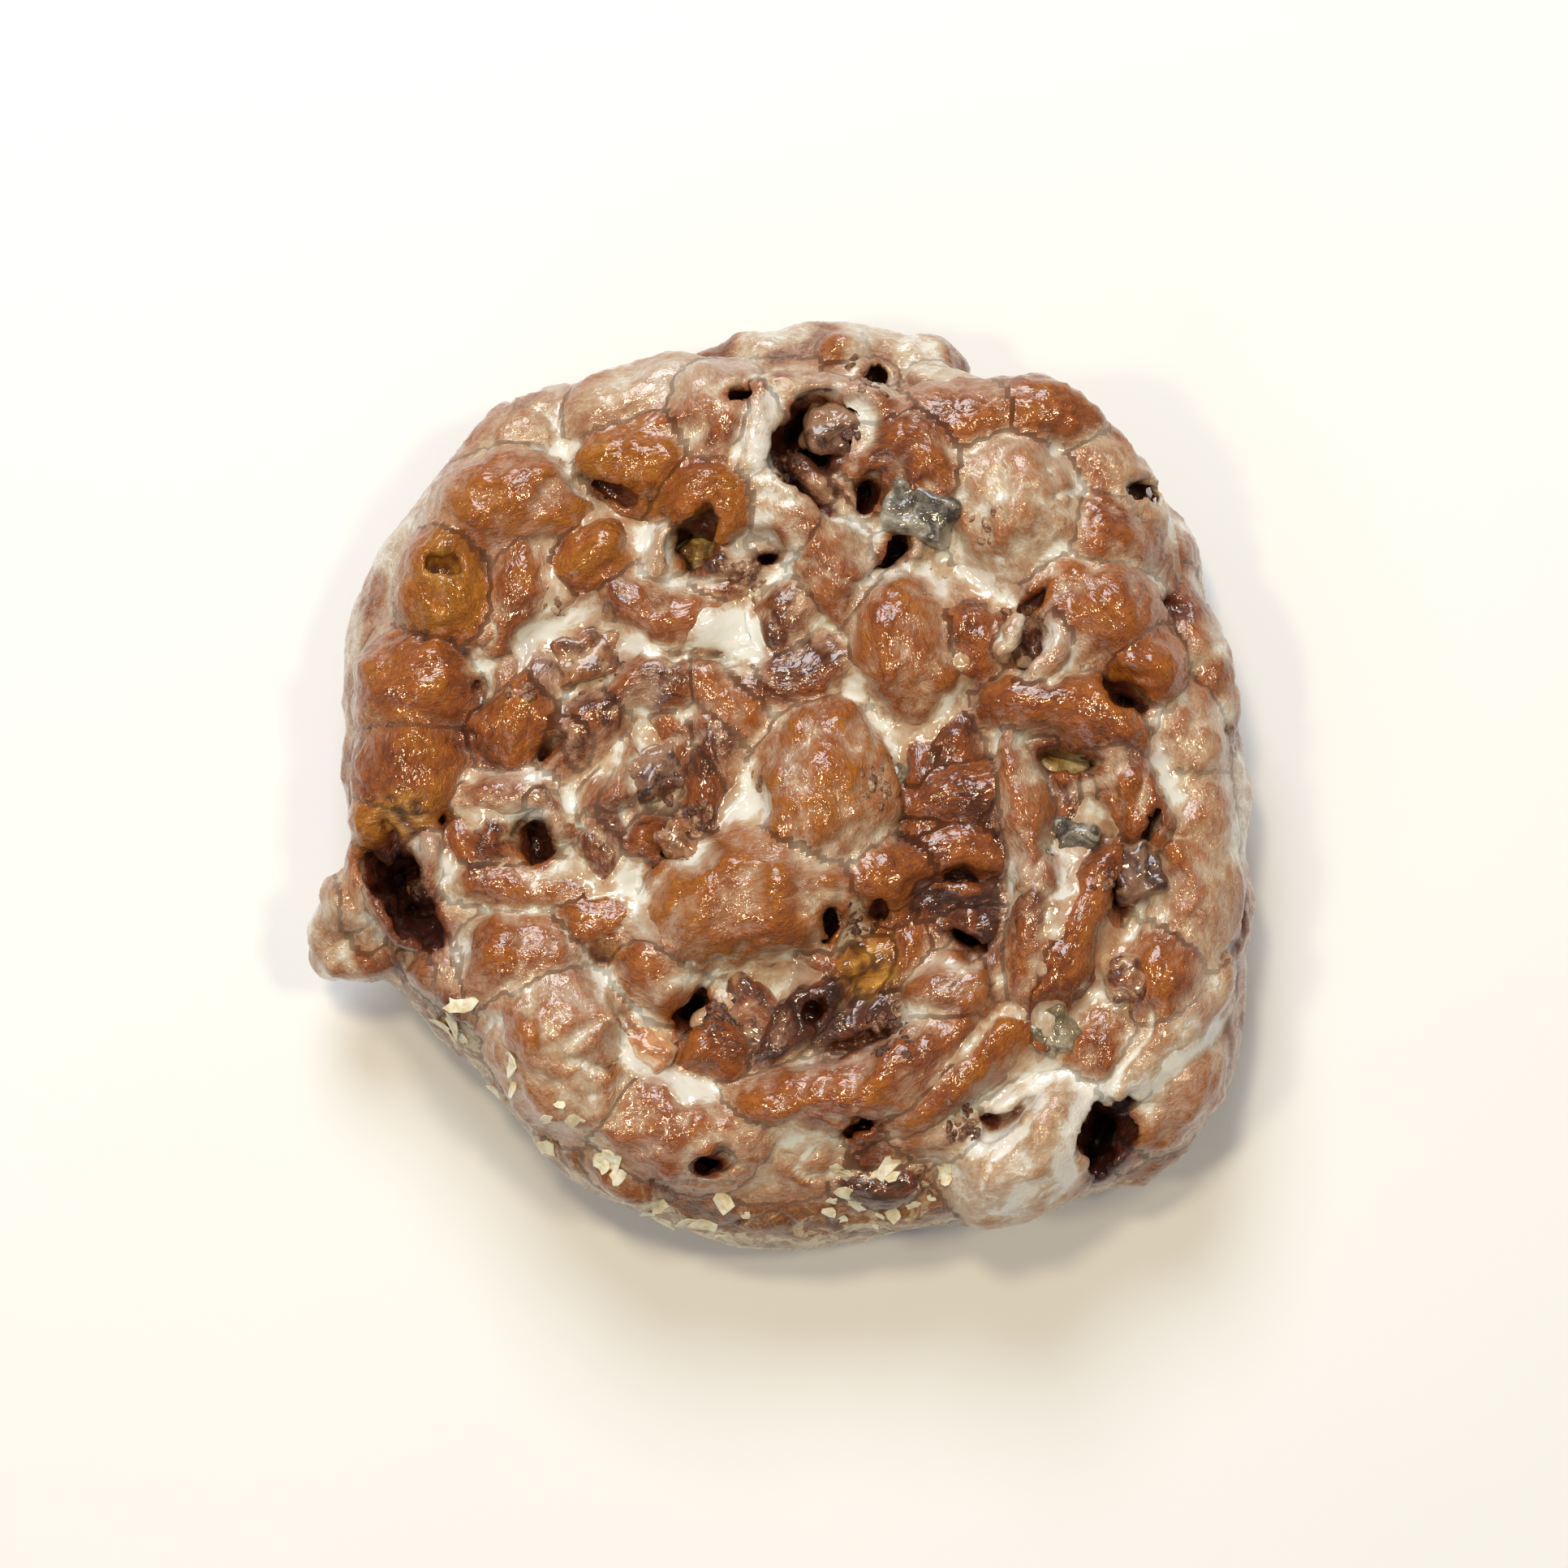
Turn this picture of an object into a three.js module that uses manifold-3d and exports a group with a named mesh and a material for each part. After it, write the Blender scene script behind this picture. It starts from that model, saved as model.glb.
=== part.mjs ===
// A glazed apple fritter, about 139 mm across and 41 mm thick.
// Chopped yeast dough is pressed together with diced apple and fried, so the top is a relief of
// round folds with deep gaps between them, and dice of apple sit in some of the gaps.
// Frame: millimetres, +Z up. It lies on its flat underside, with the origin under its middle.
// +X is its right and +Y its far edge, as seen from above.
import * as THREE from "three";
import { RoundedBoxGeometry } from "three/addons/geometries/RoundedBoxGeometry.js";
import { mergeVertices } from "three/addons/utils/BufferGeometryUtils.js";
import Module from "manifold-3d";

const wasm = await Module();
wasm.setup();

// ---- Driving dimensions ----
const BODY_HEIGHT = 30; // the pressed body of dough between the folds
const BELLY_HEIGHT = 14; // where the body is widest
const UNDERSIDE_SINK = 1.2; // how far the body's round underside is cut off flat
const EDGE_SHARE = 0.9; // the share of the outline at which the top turns into the side
const BREADTH_POWER = 6; // the side's curve is |radius|^6 + |height|^2.4 = 1
const HEIGHT_POWER = 2.4;
const TOP_CELLS = 44; // facets across the top
const SIDE_CELLS = 4; // facets down the side
const RISE_START = 0.2; // the folds begin to raise the surface at this share of the way up
const DICE_ROUND = 1.1; // the radius that cooking gives a dice's edges
const DICE_GAP = 0.3; // between an apple dice and the dough around it
const GAP_HEADROOM = 6; // how far a gap's cutting shape reaches above its brim

// ---- The outline seen from above: a rounded square with its front left corner cut off ----
const OUTLINE = [
  [69, -2], [67.5, 12], [64.5, 26], [60.5, 39], [52, 49.5], [39, 59], [24, 63], [10, 67.7], [-8, 66],
  [-27, 61.5], [-44, 54.5], [-57, 42.5], [-64, 28], [-66, 8], [-64, -12], [-56, -30], [-44, -43.5],
  [-33, -56], [-20, -63.5], [-5, -67], [14, -66], [34, -62.5], [52, -57], [64.5, -47], [68.5, -29],
].map(([x, y]) => new THREE.Vector3(x, y, 0));
const outline = new THREE.CatmullRomCurve3(OUTLINE, true);

// ---- The folds of dough ----
// x and y: the middle. long and wide: its size from above. turn: degrees from +X. top: its crest's
// height. bow: how far its middle is bent to the left of its run. tall: its thickness.
const FOLDS = {
  west_bubble: { x: -49.5, y: 30, long: 20, wide: 13, turn: 82, top: 37 },
  west_inner_slope: { x: -40.5, y: 31, long: 27, wide: 10, turn: 72, top: 36, bow: -2 },
  northwest_shoulder: { x: -41, y: 41, long: 26, wide: 16, turn: 22, top: 38 },
  northwest_outer: { x: -39, y: 49.5, long: 28, wide: 13, turn: 38, top: 33 },
  north_northwest: { x: -21, y: 56, long: 28, wide: 12, turn: 18, top: 35 },
  gold_fold: { x: -20.5, y: 48.5, long: 22, wide: 14, turn: 8, top: 37 },
  north_block: { x: -10.5, y: 53, long: 20, wide: 16, turn: 95, top: 38 },
  orange_oval: { x: -11.5, y: 42, long: 14, wide: 9, turn: 5, top: 35 },
  bridge: { x: -2.5, y: 41, long: 25, wide: 7, turn: -50, top: 37, bow: 1.5 },
  cave_post: { x: -4, y: 50.5, long: 15, wide: 6, turn: 84, top: 38 },
  cave_arch: { x: 6.5, y: 56, long: 26, wide: 6, turn: -4, top: 37, bow: 1 },
  north_ledge: { x: 9, y: 61.5, long: 36, wide: 12, turn: -2, top: 25 },
  north_lobe: { x: 18.5, y: 47, long: 22, wide: 12, turn: -28, top: 38, bow: 2 },
  northeast_rim: { x: 28, y: 54.5, long: 26, wide: 9, turn: 2, top: 36 },
  northeast_tip: { x: 39.5, y: 54.5, long: 15, wide: 10, turn: -15, top: 36 },
  pale_dome: { x: 33.5, y: 42, long: 26, wide: 20, turn: -60, top: 39 },
  northeast_outer: { x: 46.5, y: 47, long: 25, wide: 10, turn: -48, top: 34 },
  northeast_shelf: { x: 46, y: 37, long: 18, wide: 13, turn: -10, top: 36 },
  east_crag: { x: 45, y: 25, long: 24, wide: 16, turn: -25, top: 38 },
  east_crag_tip: { x: 53, y: 18.5, long: 13, wide: 10, turn: -60, top: 37 },
  east_outer: { x: 61, y: 20, long: 26, wide: 9, turn: -72, top: 28 },
  east_mid: { x: 58.5, y: 7, long: 18, wide: 12, turn: -80, top: 33 },
  east_rim: { x: 59, y: -14, long: 46, wide: 14, turn: 92, top: 34 },
  east_low: { x: 55.5, y: -29, long: 20, wide: 14, turn: 80, top: 35 },
  southeast_ridge: { x: 54.5, y: -38, long: 28, wide: 8, turn: 45, top: 34 },
  southeast_corner: { x: 57, y: -44.5, long: 19, wide: 12, turn: 52, top: 31 },
  south_southeast: { x: 37, y: -52, long: 30, wide: 16, turn: 40, top: 35 },
  south_lip: { x: 18, y: -59.5, long: 30, wide: 9, turn: 4, top: 27 },
  south_flat: { x: -1, y: -53, long: 24, wide: 14, turn: 0, top: 32 },
  south_strand: { x: 12, y: -41, long: 38, wide: 9.5, turn: 24, top: 37, bow: -3 },
  south_strand_head: { x: 25, y: -31, long: 15, wide: 12, turn: 35, top: 37 },
  thin_strand: { x: 26, y: -43, long: 26, wide: 5.5, turn: 36, top: 34.5 },
  short_strand: { x: 20.5, y: -50.5, long: 16, wide: 6, turn: 22, top: 32 },
  southwest_ridge: { x: -15, y: -49, long: 36, wide: 13, turn: -12, top: 35, bow: -2 },
  southwest_dome: { x: -32, y: -38, long: 28, wide: 19, turn: -62, top: 38 },
  southwest_mid: { x: -38, y: -26, long: 20, wide: 14, turn: 8, top: 36 },
  west_low: { x: -47, y: -27.5, long: 18, wide: 9, turn: -8, top: 31 },
  west_post: { x: -61.5, y: -12, long: 16, wide: 6.5, turn: 80, top: 28 },
  honeycomb: { x: -56, y: -4.5, long: 16, wide: 8, turn: 4, top: 33 },
  west_lower: { x: -55, y: 3, long: 22, wide: 14, turn: 80, top: 35 },
  west_mid: { x: -54, y: 14.5, long: 20, wide: 15, turn: 20, top: 36 },
  brown_oval: { x: -39.5, y: 9, long: 16, wide: 11, turn: 52, top: 34 },
  west_spike: { x: -40, y: -1.5, long: 16, wide: 6, turn: 10, top: 34 },
  hook_left: { x: -29, y: 8, long: 22, wide: 10, turn: 56, top: 35 },
  hook_top: { x: -19.5, y: 13.5, long: 20, wide: 9, turn: 8, top: 35.5, bow: 1.5 },
  hook_right: { x: -10, y: 6.5, long: 17, wide: 8.5, turn: -72, top: 35.5 },
  hook_tail: { x: -26, y: -5, long: 18, wide: 9, turn: 58, top: 34 },
  inner_orange: { x: -28, y: 31.5, long: 11, wide: 9.5, turn: 10, top: 35.5 },
  pink_ridge: { x: -19, y: 26.5, long: 24, wide: 9, turn: -20, top: 35.5 },
  inner_lobe: { x: 7, y: 32, long: 19, wide: 11.5, turn: -50, top: 37 },
  gold_ridge: { x: -8, y: 12, long: 14, wide: 7, turn: -48, top: 36 },
  centre_far: { x: 2, y: 16, long: 20, wide: 12, turn: 18, top: 36 },
  upper_tooth: { x: 18, y: 19.5, long: 20, wide: 13, turn: 102, top: 38 },
  upper_tooth_right: { x: 28.5, y: 21, long: 14, wide: 9, turn: 104, top: 36 },
  centre_dome: { x: 5.5, y: -2, long: 24, wide: 18, turn: 92, top: 41 },
  centre_loaf: { x: -4, y: -18, long: 34, wide: 17, turn: 12, top: 41.5, bow: 1.5 },
  centre_tip: { x: 13.5, y: -14, long: 16, wide: 8, turn: 8, top: 38.5 },
  crust_row_far: { x: 25, y: -2, long: 17, wide: 10, turn: 12, top: 34 },
  crust_row_mid: { x: 25, y: -10.5, long: 17, wide: 8, turn: 10, top: 33 },
  crust_row_near: { x: 25, y: -16.5, long: 15, wide: 6, turn: 8, top: 31.5 },
  right_rib: { x: 35, y: -13, long: 38, wide: 6.5, turn: 94, top: 36.5, bow: -1.5 },
  right_rib_outer: { x: 42.5, y: -24, long: 30, wide: 8, turn: 70, top: 36, bow: 1 },
  right_hook: { x: 42, y: 9, long: 26, wide: 9, turn: -16, top: 37.5, bow: 2 },
  right_hook_tail: { x: 50.5, y: 0.5, long: 22, wide: 9, turn: -66, top: 36.5 },
  southeast_inner: { x: 46.5, y: -38.5, long: 16, wide: 11, turn: 62, top: 34 },
  gold_valley: { x: 11, y: -27, long: 16, wide: 9, turn: 8, top: 33 },
  blister_left: { x: -24, y: -21, long: 18, wide: 9, turn: -8, top: 35.5 },
  blister_right: { x: -18.5, y: -27, long: 13, wide: 10.5, turn: 10, top: 36 },
  cave_crust: { x: -42.5, y: -10.5, long: 13, wide: 7, turn: -22, top: 33 },
  cave_strand: { x: -37, y: -15, long: 20, wide: 5, turn: -8, top: 34 },
  pocket_bit: { x: -10.5, y: -40, long: 11, wide: 7, turn: -10, top: 33 },
  dark_strand: { x: 13.5, y: -33.5, long: 16, wide: 5.5, turn: 28, top: 33.5 },
  pale_shoulder: { x: -22.5, y: -11.5, long: 14, wide: 8, turn: -25, top: 34 },
};

// ---- The bulges around the side, as a ring of unequal swellings ----
const BULGES = 17;
const BULGE_LONG = 24; // along the edge
const BULGE_TALL = 13;
const BULGE_REACH = 2.6; // how far they stand out
const BULGE_HEIGHT = 14; // the mean height of their middles

// ---- The knob of dough that stands out of the left side ----
const KNOB = { x: -60.5, y: -21.5, z: 17, long: 18.5, wide: 13.5, tall: 15, turn: 12 };

// ---- The gaps between the folds: depth is measured from mouth, the height of the gap's brim ----
const GAPS = {
  far_cave: { x: 2.5, y: 49, long: 14, wide: 10, turn: 60, mouth: 38, depth: 17 },
  far_cave_front: { x: 3.5, y: 42, long: 12, wide: 7, turn: -30, mouth: 37, depth: 14 },
  far_cave_right: { x: 11.5, y: 42, long: 6.5, wide: 5, turn: 10, mouth: 36, depth: 12 },
  far_slot: { x: -6, y: 55, long: 6, wide: 3.6, turn: 8, mouth: 38, depth: 13 },
  yellow_well: { x: -12.3, y: 34, long: 9, wide: 8, turn: 0, mouth: 35, depth: 12 },
  orange_slot: { x: -2.6, y: 33.5, long: 6.5, wide: 4, turn: 75, mouth: 36, depth: 11 },
  black_slot: { x: 15.8, y: 33.3, long: 6, wide: 4.6, turn: 60, mouth: 36, depth: 14 },
  left_cave: { x: -53.8, y: -16, long: 15.5, wide: 9, turn: -62, mouth: 34, depth: 21 },
  left_well: { x: -35.6, y: -8.6, long: 8, wide: 4.2, turn: -62, mouth: 34, depth: 11 },
  dark_well: { x: -14, y: -31.5, long: 8, wide: 5.6, turn: 4, mouth: 35, depth: 15 },
  round_well: { x: 26, y: -22.5, long: 5.6, wide: 4.2, turn: 0, mouth: 34, depth: 13 },
  front_slot: { x: 11, y: -49, long: 6.2, wide: 3.6, turn: 5, mouth: 34, depth: 12 },
  front_hole: { x: -10.2, y: -53.5, long: 5.8, wide: 4, turn: 15, mouth: 34, depth: 13 },
  corner_cave: { x: 46, y: -50.5, long: 13, wide: 8, turn: 62, mouth: 33, depth: 22 },
  right_slit: { x: 41, y: 2.2, long: 9.5, wide: 3.8, turn: 4, mouth: 36, depth: 11 },
  right_slot: { x: 48.5, y: 12, long: 8, wide: 3.6, turn: -24, mouth: 36, depth: 10 },
};

// ---- The dice of apple that show, each with its middle at x, y, z ----
// size: its edges. turn, tip and roll: degrees about Z, then about its own X and Y.
const DICE = {
  far_cave_apple: { at: [9, 50.5, 32], size: [10.5, 6, 6], turn: -10, tip: 15, roll: 8 },
  grey_apple: { at: [19.5, 39, 34], size: [9, 6, 5.5], turn: -24, tip: 10, roll: -8 },
  hook_apple: { at: [-18.5, 1.5, 31.5], size: [7.5, 6, 6], turn: 22, tip: -10, roll: 6 },
  diamond_apple: { at: [38.3, -35, 32.2], size: [6, 6, 5], turn: 40, tip: 4, roll: -4 },
  square_apple: { at: [48.6, -27.8, 33.6], size: [5.4, 6.2, 5], turn: 6, tip: 3, roll: 6 },
  right_apple: { at: [49.8, -13, 33], size: [6, 7, 6], turn: 20, tip: -8, roll: 8 },
  blue_apple: { at: [41.2, -8.2, 31.5], size: [6.5, 5.5, 5], turn: -15, tip: 12, roll: 0 },
  crusted_apple: { at: [-14.5, -7.5, 31.5], size: [7.5, 5.5, 5.5], turn: 40, tip: 6, roll: 10 },
  west_apple: { at: [-27.5, 17.8, 31], size: [10, 6.5, 6], turn: 14, tip: -6, roll: 5 },
  yellow_apple: { at: [-11.6, 33.4, 26.5], size: [6, 5.5, 5], turn: 30, tip: 14, roll: 10 },
  pocket_apple: { at: [-19.5, -38, 31], size: [7.5, 6, 5.5], turn: -40, tip: 6, roll: -6 },
  dark_apple: { at: [-5, -34.5, 31], size: [10.5, 9.5, 6], turn: -42, tip: 10, roll: -6 },
  valley_apple: { at: [17, 1, 31], size: [5.8, 5, 5], turn: 30, tip: -6, roll: 14 },
  slit_apple: { at: [40.2, 1.8, 27.8], size: [7, 4.4, 4.6], turn: 8, tip: 0, roll: 10 },
};

// ---- Shapes ----
// A closed geometry as a solid for cutting and joining.
function solidOf(geometry) {
  const bare = new THREE.BufferGeometry();
  bare.setAttribute("position", geometry.getAttribute("position"));
  bare.setIndex(geometry.getIndex());
  const merged = mergeVertices(bare, 1e-3);
  return new wasm.Manifold(
    new wasm.Mesh({
      numProp: 3,
      vertProperties: new Float32Array(merged.getAttribute("position").array),
      triVerts: new Uint32Array(merged.getIndex().array),
    }),
  );
}

function geometryOf(solid) {
  const mesh = solid.getMesh();
  const geometry = new THREE.BufferGeometry();
  geometry.setAttribute("position", new THREE.BufferAttribute(mesh.vertProperties, 3));
  geometry.setIndex(new THREE.BufferAttribute(mesh.triVerts, 1));
  return geometry;
}

// Moves every vertex of a geometry to where place(vertex) puts it.
function reshape(geometry, place) {
  const position = geometry.getAttribute("position");
  const vertex = new THREE.Vector3();
  for (let i = 0; i < position.count; i++) {
    vertex.fromBufferAttribute(position, i);
    place(vertex);
    position.setXYZ(i, vertex.x, vertex.y, vertex.z);
  }
  return geometry;
}

// A ball of radius 1 with its poles on the axis that rotate names.
function ball(around, down, rotate) {
  return new THREE.SphereGeometry(1, around, down)[rotate](Math.PI / 2);
}

// How high the fold's surface is over a place, or 0 outside it: a ball drawn out along its run and
// bowed sideways.
function crestOf({ x, y, long, wide, turn, top, bow = 0, tall = wide * 1.1 }, atX, atY) {
  const angle = THREE.MathUtils.degToRad(turn);
  const dx = atX - x;
  const dy = atY - y;
  const along = (dx * Math.cos(angle) + dy * Math.sin(angle)) / (long / 2);
  const across = dy * Math.cos(angle) - dx * Math.sin(angle) - bow * (1 - 2 * along * along);
  const spread = along ** 2 + (across / (wide / 2)) ** 2;
  return spread < 1 ? top - (tall / 2) * (1 - Math.sqrt(1 - spread)) : 0;
}

// Bulge number i: its place and size vary by two waves that don't repeat round the ring.
function bulgeAt(i, share, height) {
  const wave = Math.sin(i * 2.4);
  const ripple = Math.cos(i * 3.9);
  const turns = ((share - (i + 0.2 * ripple) / BULGES + 1.5) % 1) - 0.5;
  const along = (turns * outline.getLength()) / (BULGE_LONG * (0.5 + 0.1 * wave));
  const above = (height - BULGE_HEIGHT - 3 * wave) / (BULGE_TALL * (0.5 + 0.1 * ripple));
  return BULGE_REACH * (1 + 0.4 * ripple) * Math.exp(-(along ** 2) - above ** 2);
}

// The dough before it is cut: a box's grid laid on the round-edged body, then raised to the folds.
function raisedBody() {
  const cells = [TOP_CELLS, TOP_CELLS, SIDE_CELLS];
  const folds = Object.values(FOLDS);
  const bulges = [...Array(BULGES).keys()];
  const turnHeight = (1 - EDGE_SHARE ** BREADTH_POWER) ** (1 / HEIGHT_POWER);
  const geometry = reshape(new THREE.BoxGeometry(2, 2, 2, ...cells), (v) => {
    const onSide = Math.abs(v.z) < 1;
    const square = Math.max(Math.abs(v.x), Math.abs(v.y));
    const level = onSide
      ? v.z * turnHeight
      : v.z * (1 - (EDGE_SHARE * square) ** BREADTH_POWER) ** (1 / HEIGHT_POWER);
    const radius = onSide
      ? (1 - Math.abs(level) ** HEIGHT_POWER) ** (1 / BREADTH_POWER)
      : EDGE_SHARE * square;
    const half = level > 0 ? BODY_HEIGHT - BELLY_HEIGHT : BELLY_HEIGHT + UNDERSIDE_SINK;
    const height = BELLY_HEIGHT + level * half;
    const share = (Math.atan2(v.y, v.x) / (2 * Math.PI) + 1) % 1;
    const edge = outline.getPoint(share).multiplyScalar(radius);
    const swell = Math.max(...bulges.map((i) => bulgeAt(i, share, height)));
    edge.setLength(Math.max(edge.length() + (swell - BULGE_REACH) * radius ** BREADTH_POWER, 0));
    const crest = Math.max(...folds.map((fold) => crestOf(fold, edge.x, edge.y)));
    const rise = THREE.MathUtils.smoothstep(level, RISE_START, turnHeight);
    v.set(edge.x, edge.y, height + Math.max(crest - height, 0) * rise);
  });
  return solidOf(geometry);
}

function knob({ x, y, z, long, wide, tall, turn }) {
  const geometry = ball(9, 7, "rotateZ").scale(long / 2, wide / 2, tall / 2);
  return solidOf(geometry.rotateZ(THREE.MathUtils.degToRad(turn)).translate(x, y, z));
}

// The gap is an egg standing on its mouth's outline, so it narrows as it goes down.
function gap({ x, y, long, wide, turn, mouth, depth }) {
  const geometry = reshape(ball(6, 5, "rotateX"), (v) => {
    const reach = v.z > 0 ? GAP_HEADROOM : depth;
    v.set((v.x * long) / 2, (v.y * wide) / 2, v.z * reach);
  });
  geometry.rotateZ(THREE.MathUtils.degToRad(turn));
  geometry.translate(x, y, mouth);
  return solidOf(geometry);
}

// A dice of cooked apple: a box with rounded edges, laid where it shows.
function laid(geometry, { at, turn, tip, roll }) {
  geometry.rotateY(THREE.MathUtils.degToRad(roll));
  geometry.rotateX(THREE.MathUtils.degToRad(tip));
  geometry.rotateZ(THREE.MathUtils.degToRad(turn));
  return geometry.translate(...at);
}

function dice(one) {
  return laid(new RoundedBoxGeometry(...one.size, 1, DICE_ROUND), one);
}

// The pocket that a dice sits in: a plain box, larger by the gap on every side.
function pocket(one) {
  return solidOf(laid(new THREE.BoxGeometry(...one.size.map((edge) => edge + 2 * DICE_GAP)), one));
}

// ---- The dough: one solid, with the gaps and the pockets of the dice cut out ----
const UNDER = new THREE.BoxGeometry(200, 200, 40).translate(0, 0, -20);

function dough() {
  let solid = raisedBody().add(knob(KNOB));
  for (const one of Object.values(GAPS)) solid = solid.subtract(gap(one));
  for (const one of Object.values(DICE)) solid = solid.subtract(pocket(one));
  solid = solid.subtract(solidOf(UNDER));
  const whole = solid.decompose().sort((a, b) => b.volume() - a.volume())[0];
  return geometryOf(whole);
}

// ---- Materials ----
const crust = new THREE.MeshStandardMaterial({ color: 0xb0622c, roughness: 0.35, metalness: 0 });
const apple = new THREE.MeshStandardMaterial({ color: 0x7a5232, roughness: 0.3, metalness: 0 });

function piece(name, geometry, material) {
  const mesh = new THREE.Mesh(geometry, material);
  mesh.name = name;
  return mesh;
}

const fritter = new THREE.Group();
fritter.add(piece("dough", dough(), crust));
for (const [name, one] of Object.entries(DICE)) fritter.add(piece(name, dice(one), apple));

export default fritter;
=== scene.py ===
import math
import random

import bmesh
import bpy
import numpy as np
from mathutils import Matrix, Vector, noise
from mathutils.bvhtree import BVHTree


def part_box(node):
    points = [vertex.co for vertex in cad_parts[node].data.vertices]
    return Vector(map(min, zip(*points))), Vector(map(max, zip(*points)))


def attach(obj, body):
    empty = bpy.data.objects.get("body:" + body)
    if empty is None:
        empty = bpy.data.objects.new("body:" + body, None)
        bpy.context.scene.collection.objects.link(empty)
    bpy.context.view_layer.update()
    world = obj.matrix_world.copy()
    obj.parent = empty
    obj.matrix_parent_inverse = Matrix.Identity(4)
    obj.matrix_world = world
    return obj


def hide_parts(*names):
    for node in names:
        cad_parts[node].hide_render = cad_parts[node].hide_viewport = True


# A glazed apple fritter that lies on its underside. +X is its right and +Y its far edge, seen from
# above. Sizes in the sections are millimetres, and MM turns them into metres.
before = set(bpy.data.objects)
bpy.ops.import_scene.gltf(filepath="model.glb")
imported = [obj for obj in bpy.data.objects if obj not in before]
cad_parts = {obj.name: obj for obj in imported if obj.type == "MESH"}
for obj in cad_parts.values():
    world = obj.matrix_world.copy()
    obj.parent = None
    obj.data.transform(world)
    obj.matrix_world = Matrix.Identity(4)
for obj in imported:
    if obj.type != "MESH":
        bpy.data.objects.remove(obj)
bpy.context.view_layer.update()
MM = 0.001


# ---------------------------------------------------------------------------------------------
# The dough. Yeast dough is chopped up with diced apple, pressed into a round and fried, so its top
# is a heap of folds grown together. The body comes first, and bulges and folds are laid on it.
# ---------------------------------------------------------------------------------------------
BODY_HEIGHT = 32
BELLY_HEIGHT = 14  # where the body is widest
FOOT_HEIGHT = 6  # the outline is taken from the frame here, under the knob
FOOT_SHARE = 0.955  # how far the body reaches at that height, against its belly
FOOT_CUT = 1.2  # this much under the floor is flattened away
PLUMP = 0.6  # the belly stands this much further out than the frame's
SHOULDER = 1 / 3  # the lower, the steeper the side; 1 makes a plain ball
CROWN = 0.8  # the lower, the flatter the top
OUTSIDE = 200  # a distance well outside the fritter

cad_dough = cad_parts["dough"]
cad_surface = BVHTree.FromObject(cad_dough, bpy.context.evaluated_depsgraph_get())


# How far the body reaches from its middle in one direction, as the frame has it.
def reach(angle):
    out = Vector((math.cos(angle), math.sin(angle), 0))
    start = (out * OUTSIDE + Vector((0, 0, FOOT_HEIGHT))) * MM
    hit = cad_surface.ray_cast(start, -out)[0]
    return math.hypot(hit.x, hit.y) / FOOT_SHARE + PLUMP * MM


# A ball of radius 1, which is made once and then added for every lump.
def make_ball(operator, **fineness):
    bm = bmesh.new()
    operator(bm, radius=1, **fineness)
    ball = bpy.data.meshes.new("ball")
    bm.to_mesh(ball)
    bm.free()
    return ball


BALLS = {cuts: make_ball(bmesh.ops.create_icosphere, subdivisions=cuts) for cuts in (3, 4, 6)}


# A ball whose points all go to where place(point) puts them.
def add_ball(bm, place, ball=BALLS[4]):
    first = len(bm.verts)
    bm.from_mesh(ball)
    bm.verts.ensure_lookup_table()
    for vert in bm.verts[first:]:
        vert.co = place(vert.co)


def on_body(point):
    breadth = math.hypot(point.x, point.y)
    outward = reach(math.atan2(point.y, point.x)) * breadth ** SHOULDER
    half = BODY_HEIGHT - BELLY_HEIGHT if point.z > 0 else BELLY_HEIGHT + FOOT_CUT
    height = BELLY_HEIGHT + math.copysign(abs(point.z) ** CROWN, point.z) * half
    return Vector((point.x, point.y, 0)).normalized() * outward + Vector((0, 0, height * MM))


LUMP_WAVES = [(6, 1), (2.6, 0.5)]  # how wide the unevenness of a lump is, and how strong


# A lump of dough: a ball drawn out along its run, bent sideways by bow, and uneven all over.
def add_lump(bm, x, y, z, long, wide, tall, turn=0, bow=0, rough=0.1, fineness=4):
    seed = Vector((x, y, z))

    def place(point):
        half = Vector((point.x * long / 2, point.y * wide / 2, point.z * tall / 2))
        half *= 1 + rough * sum(share * noise.noise(half / size + seed) for size, share in LUMP_WAVES)
        half.y += bow * (1 - 2 * point.x ** 2)
        half.rotate(Matrix.Rotation(math.radians(turn), 3, "Z"))
        return (half + seed) * MM

    add_ball(bm, place, BALLS[fineness])


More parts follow.
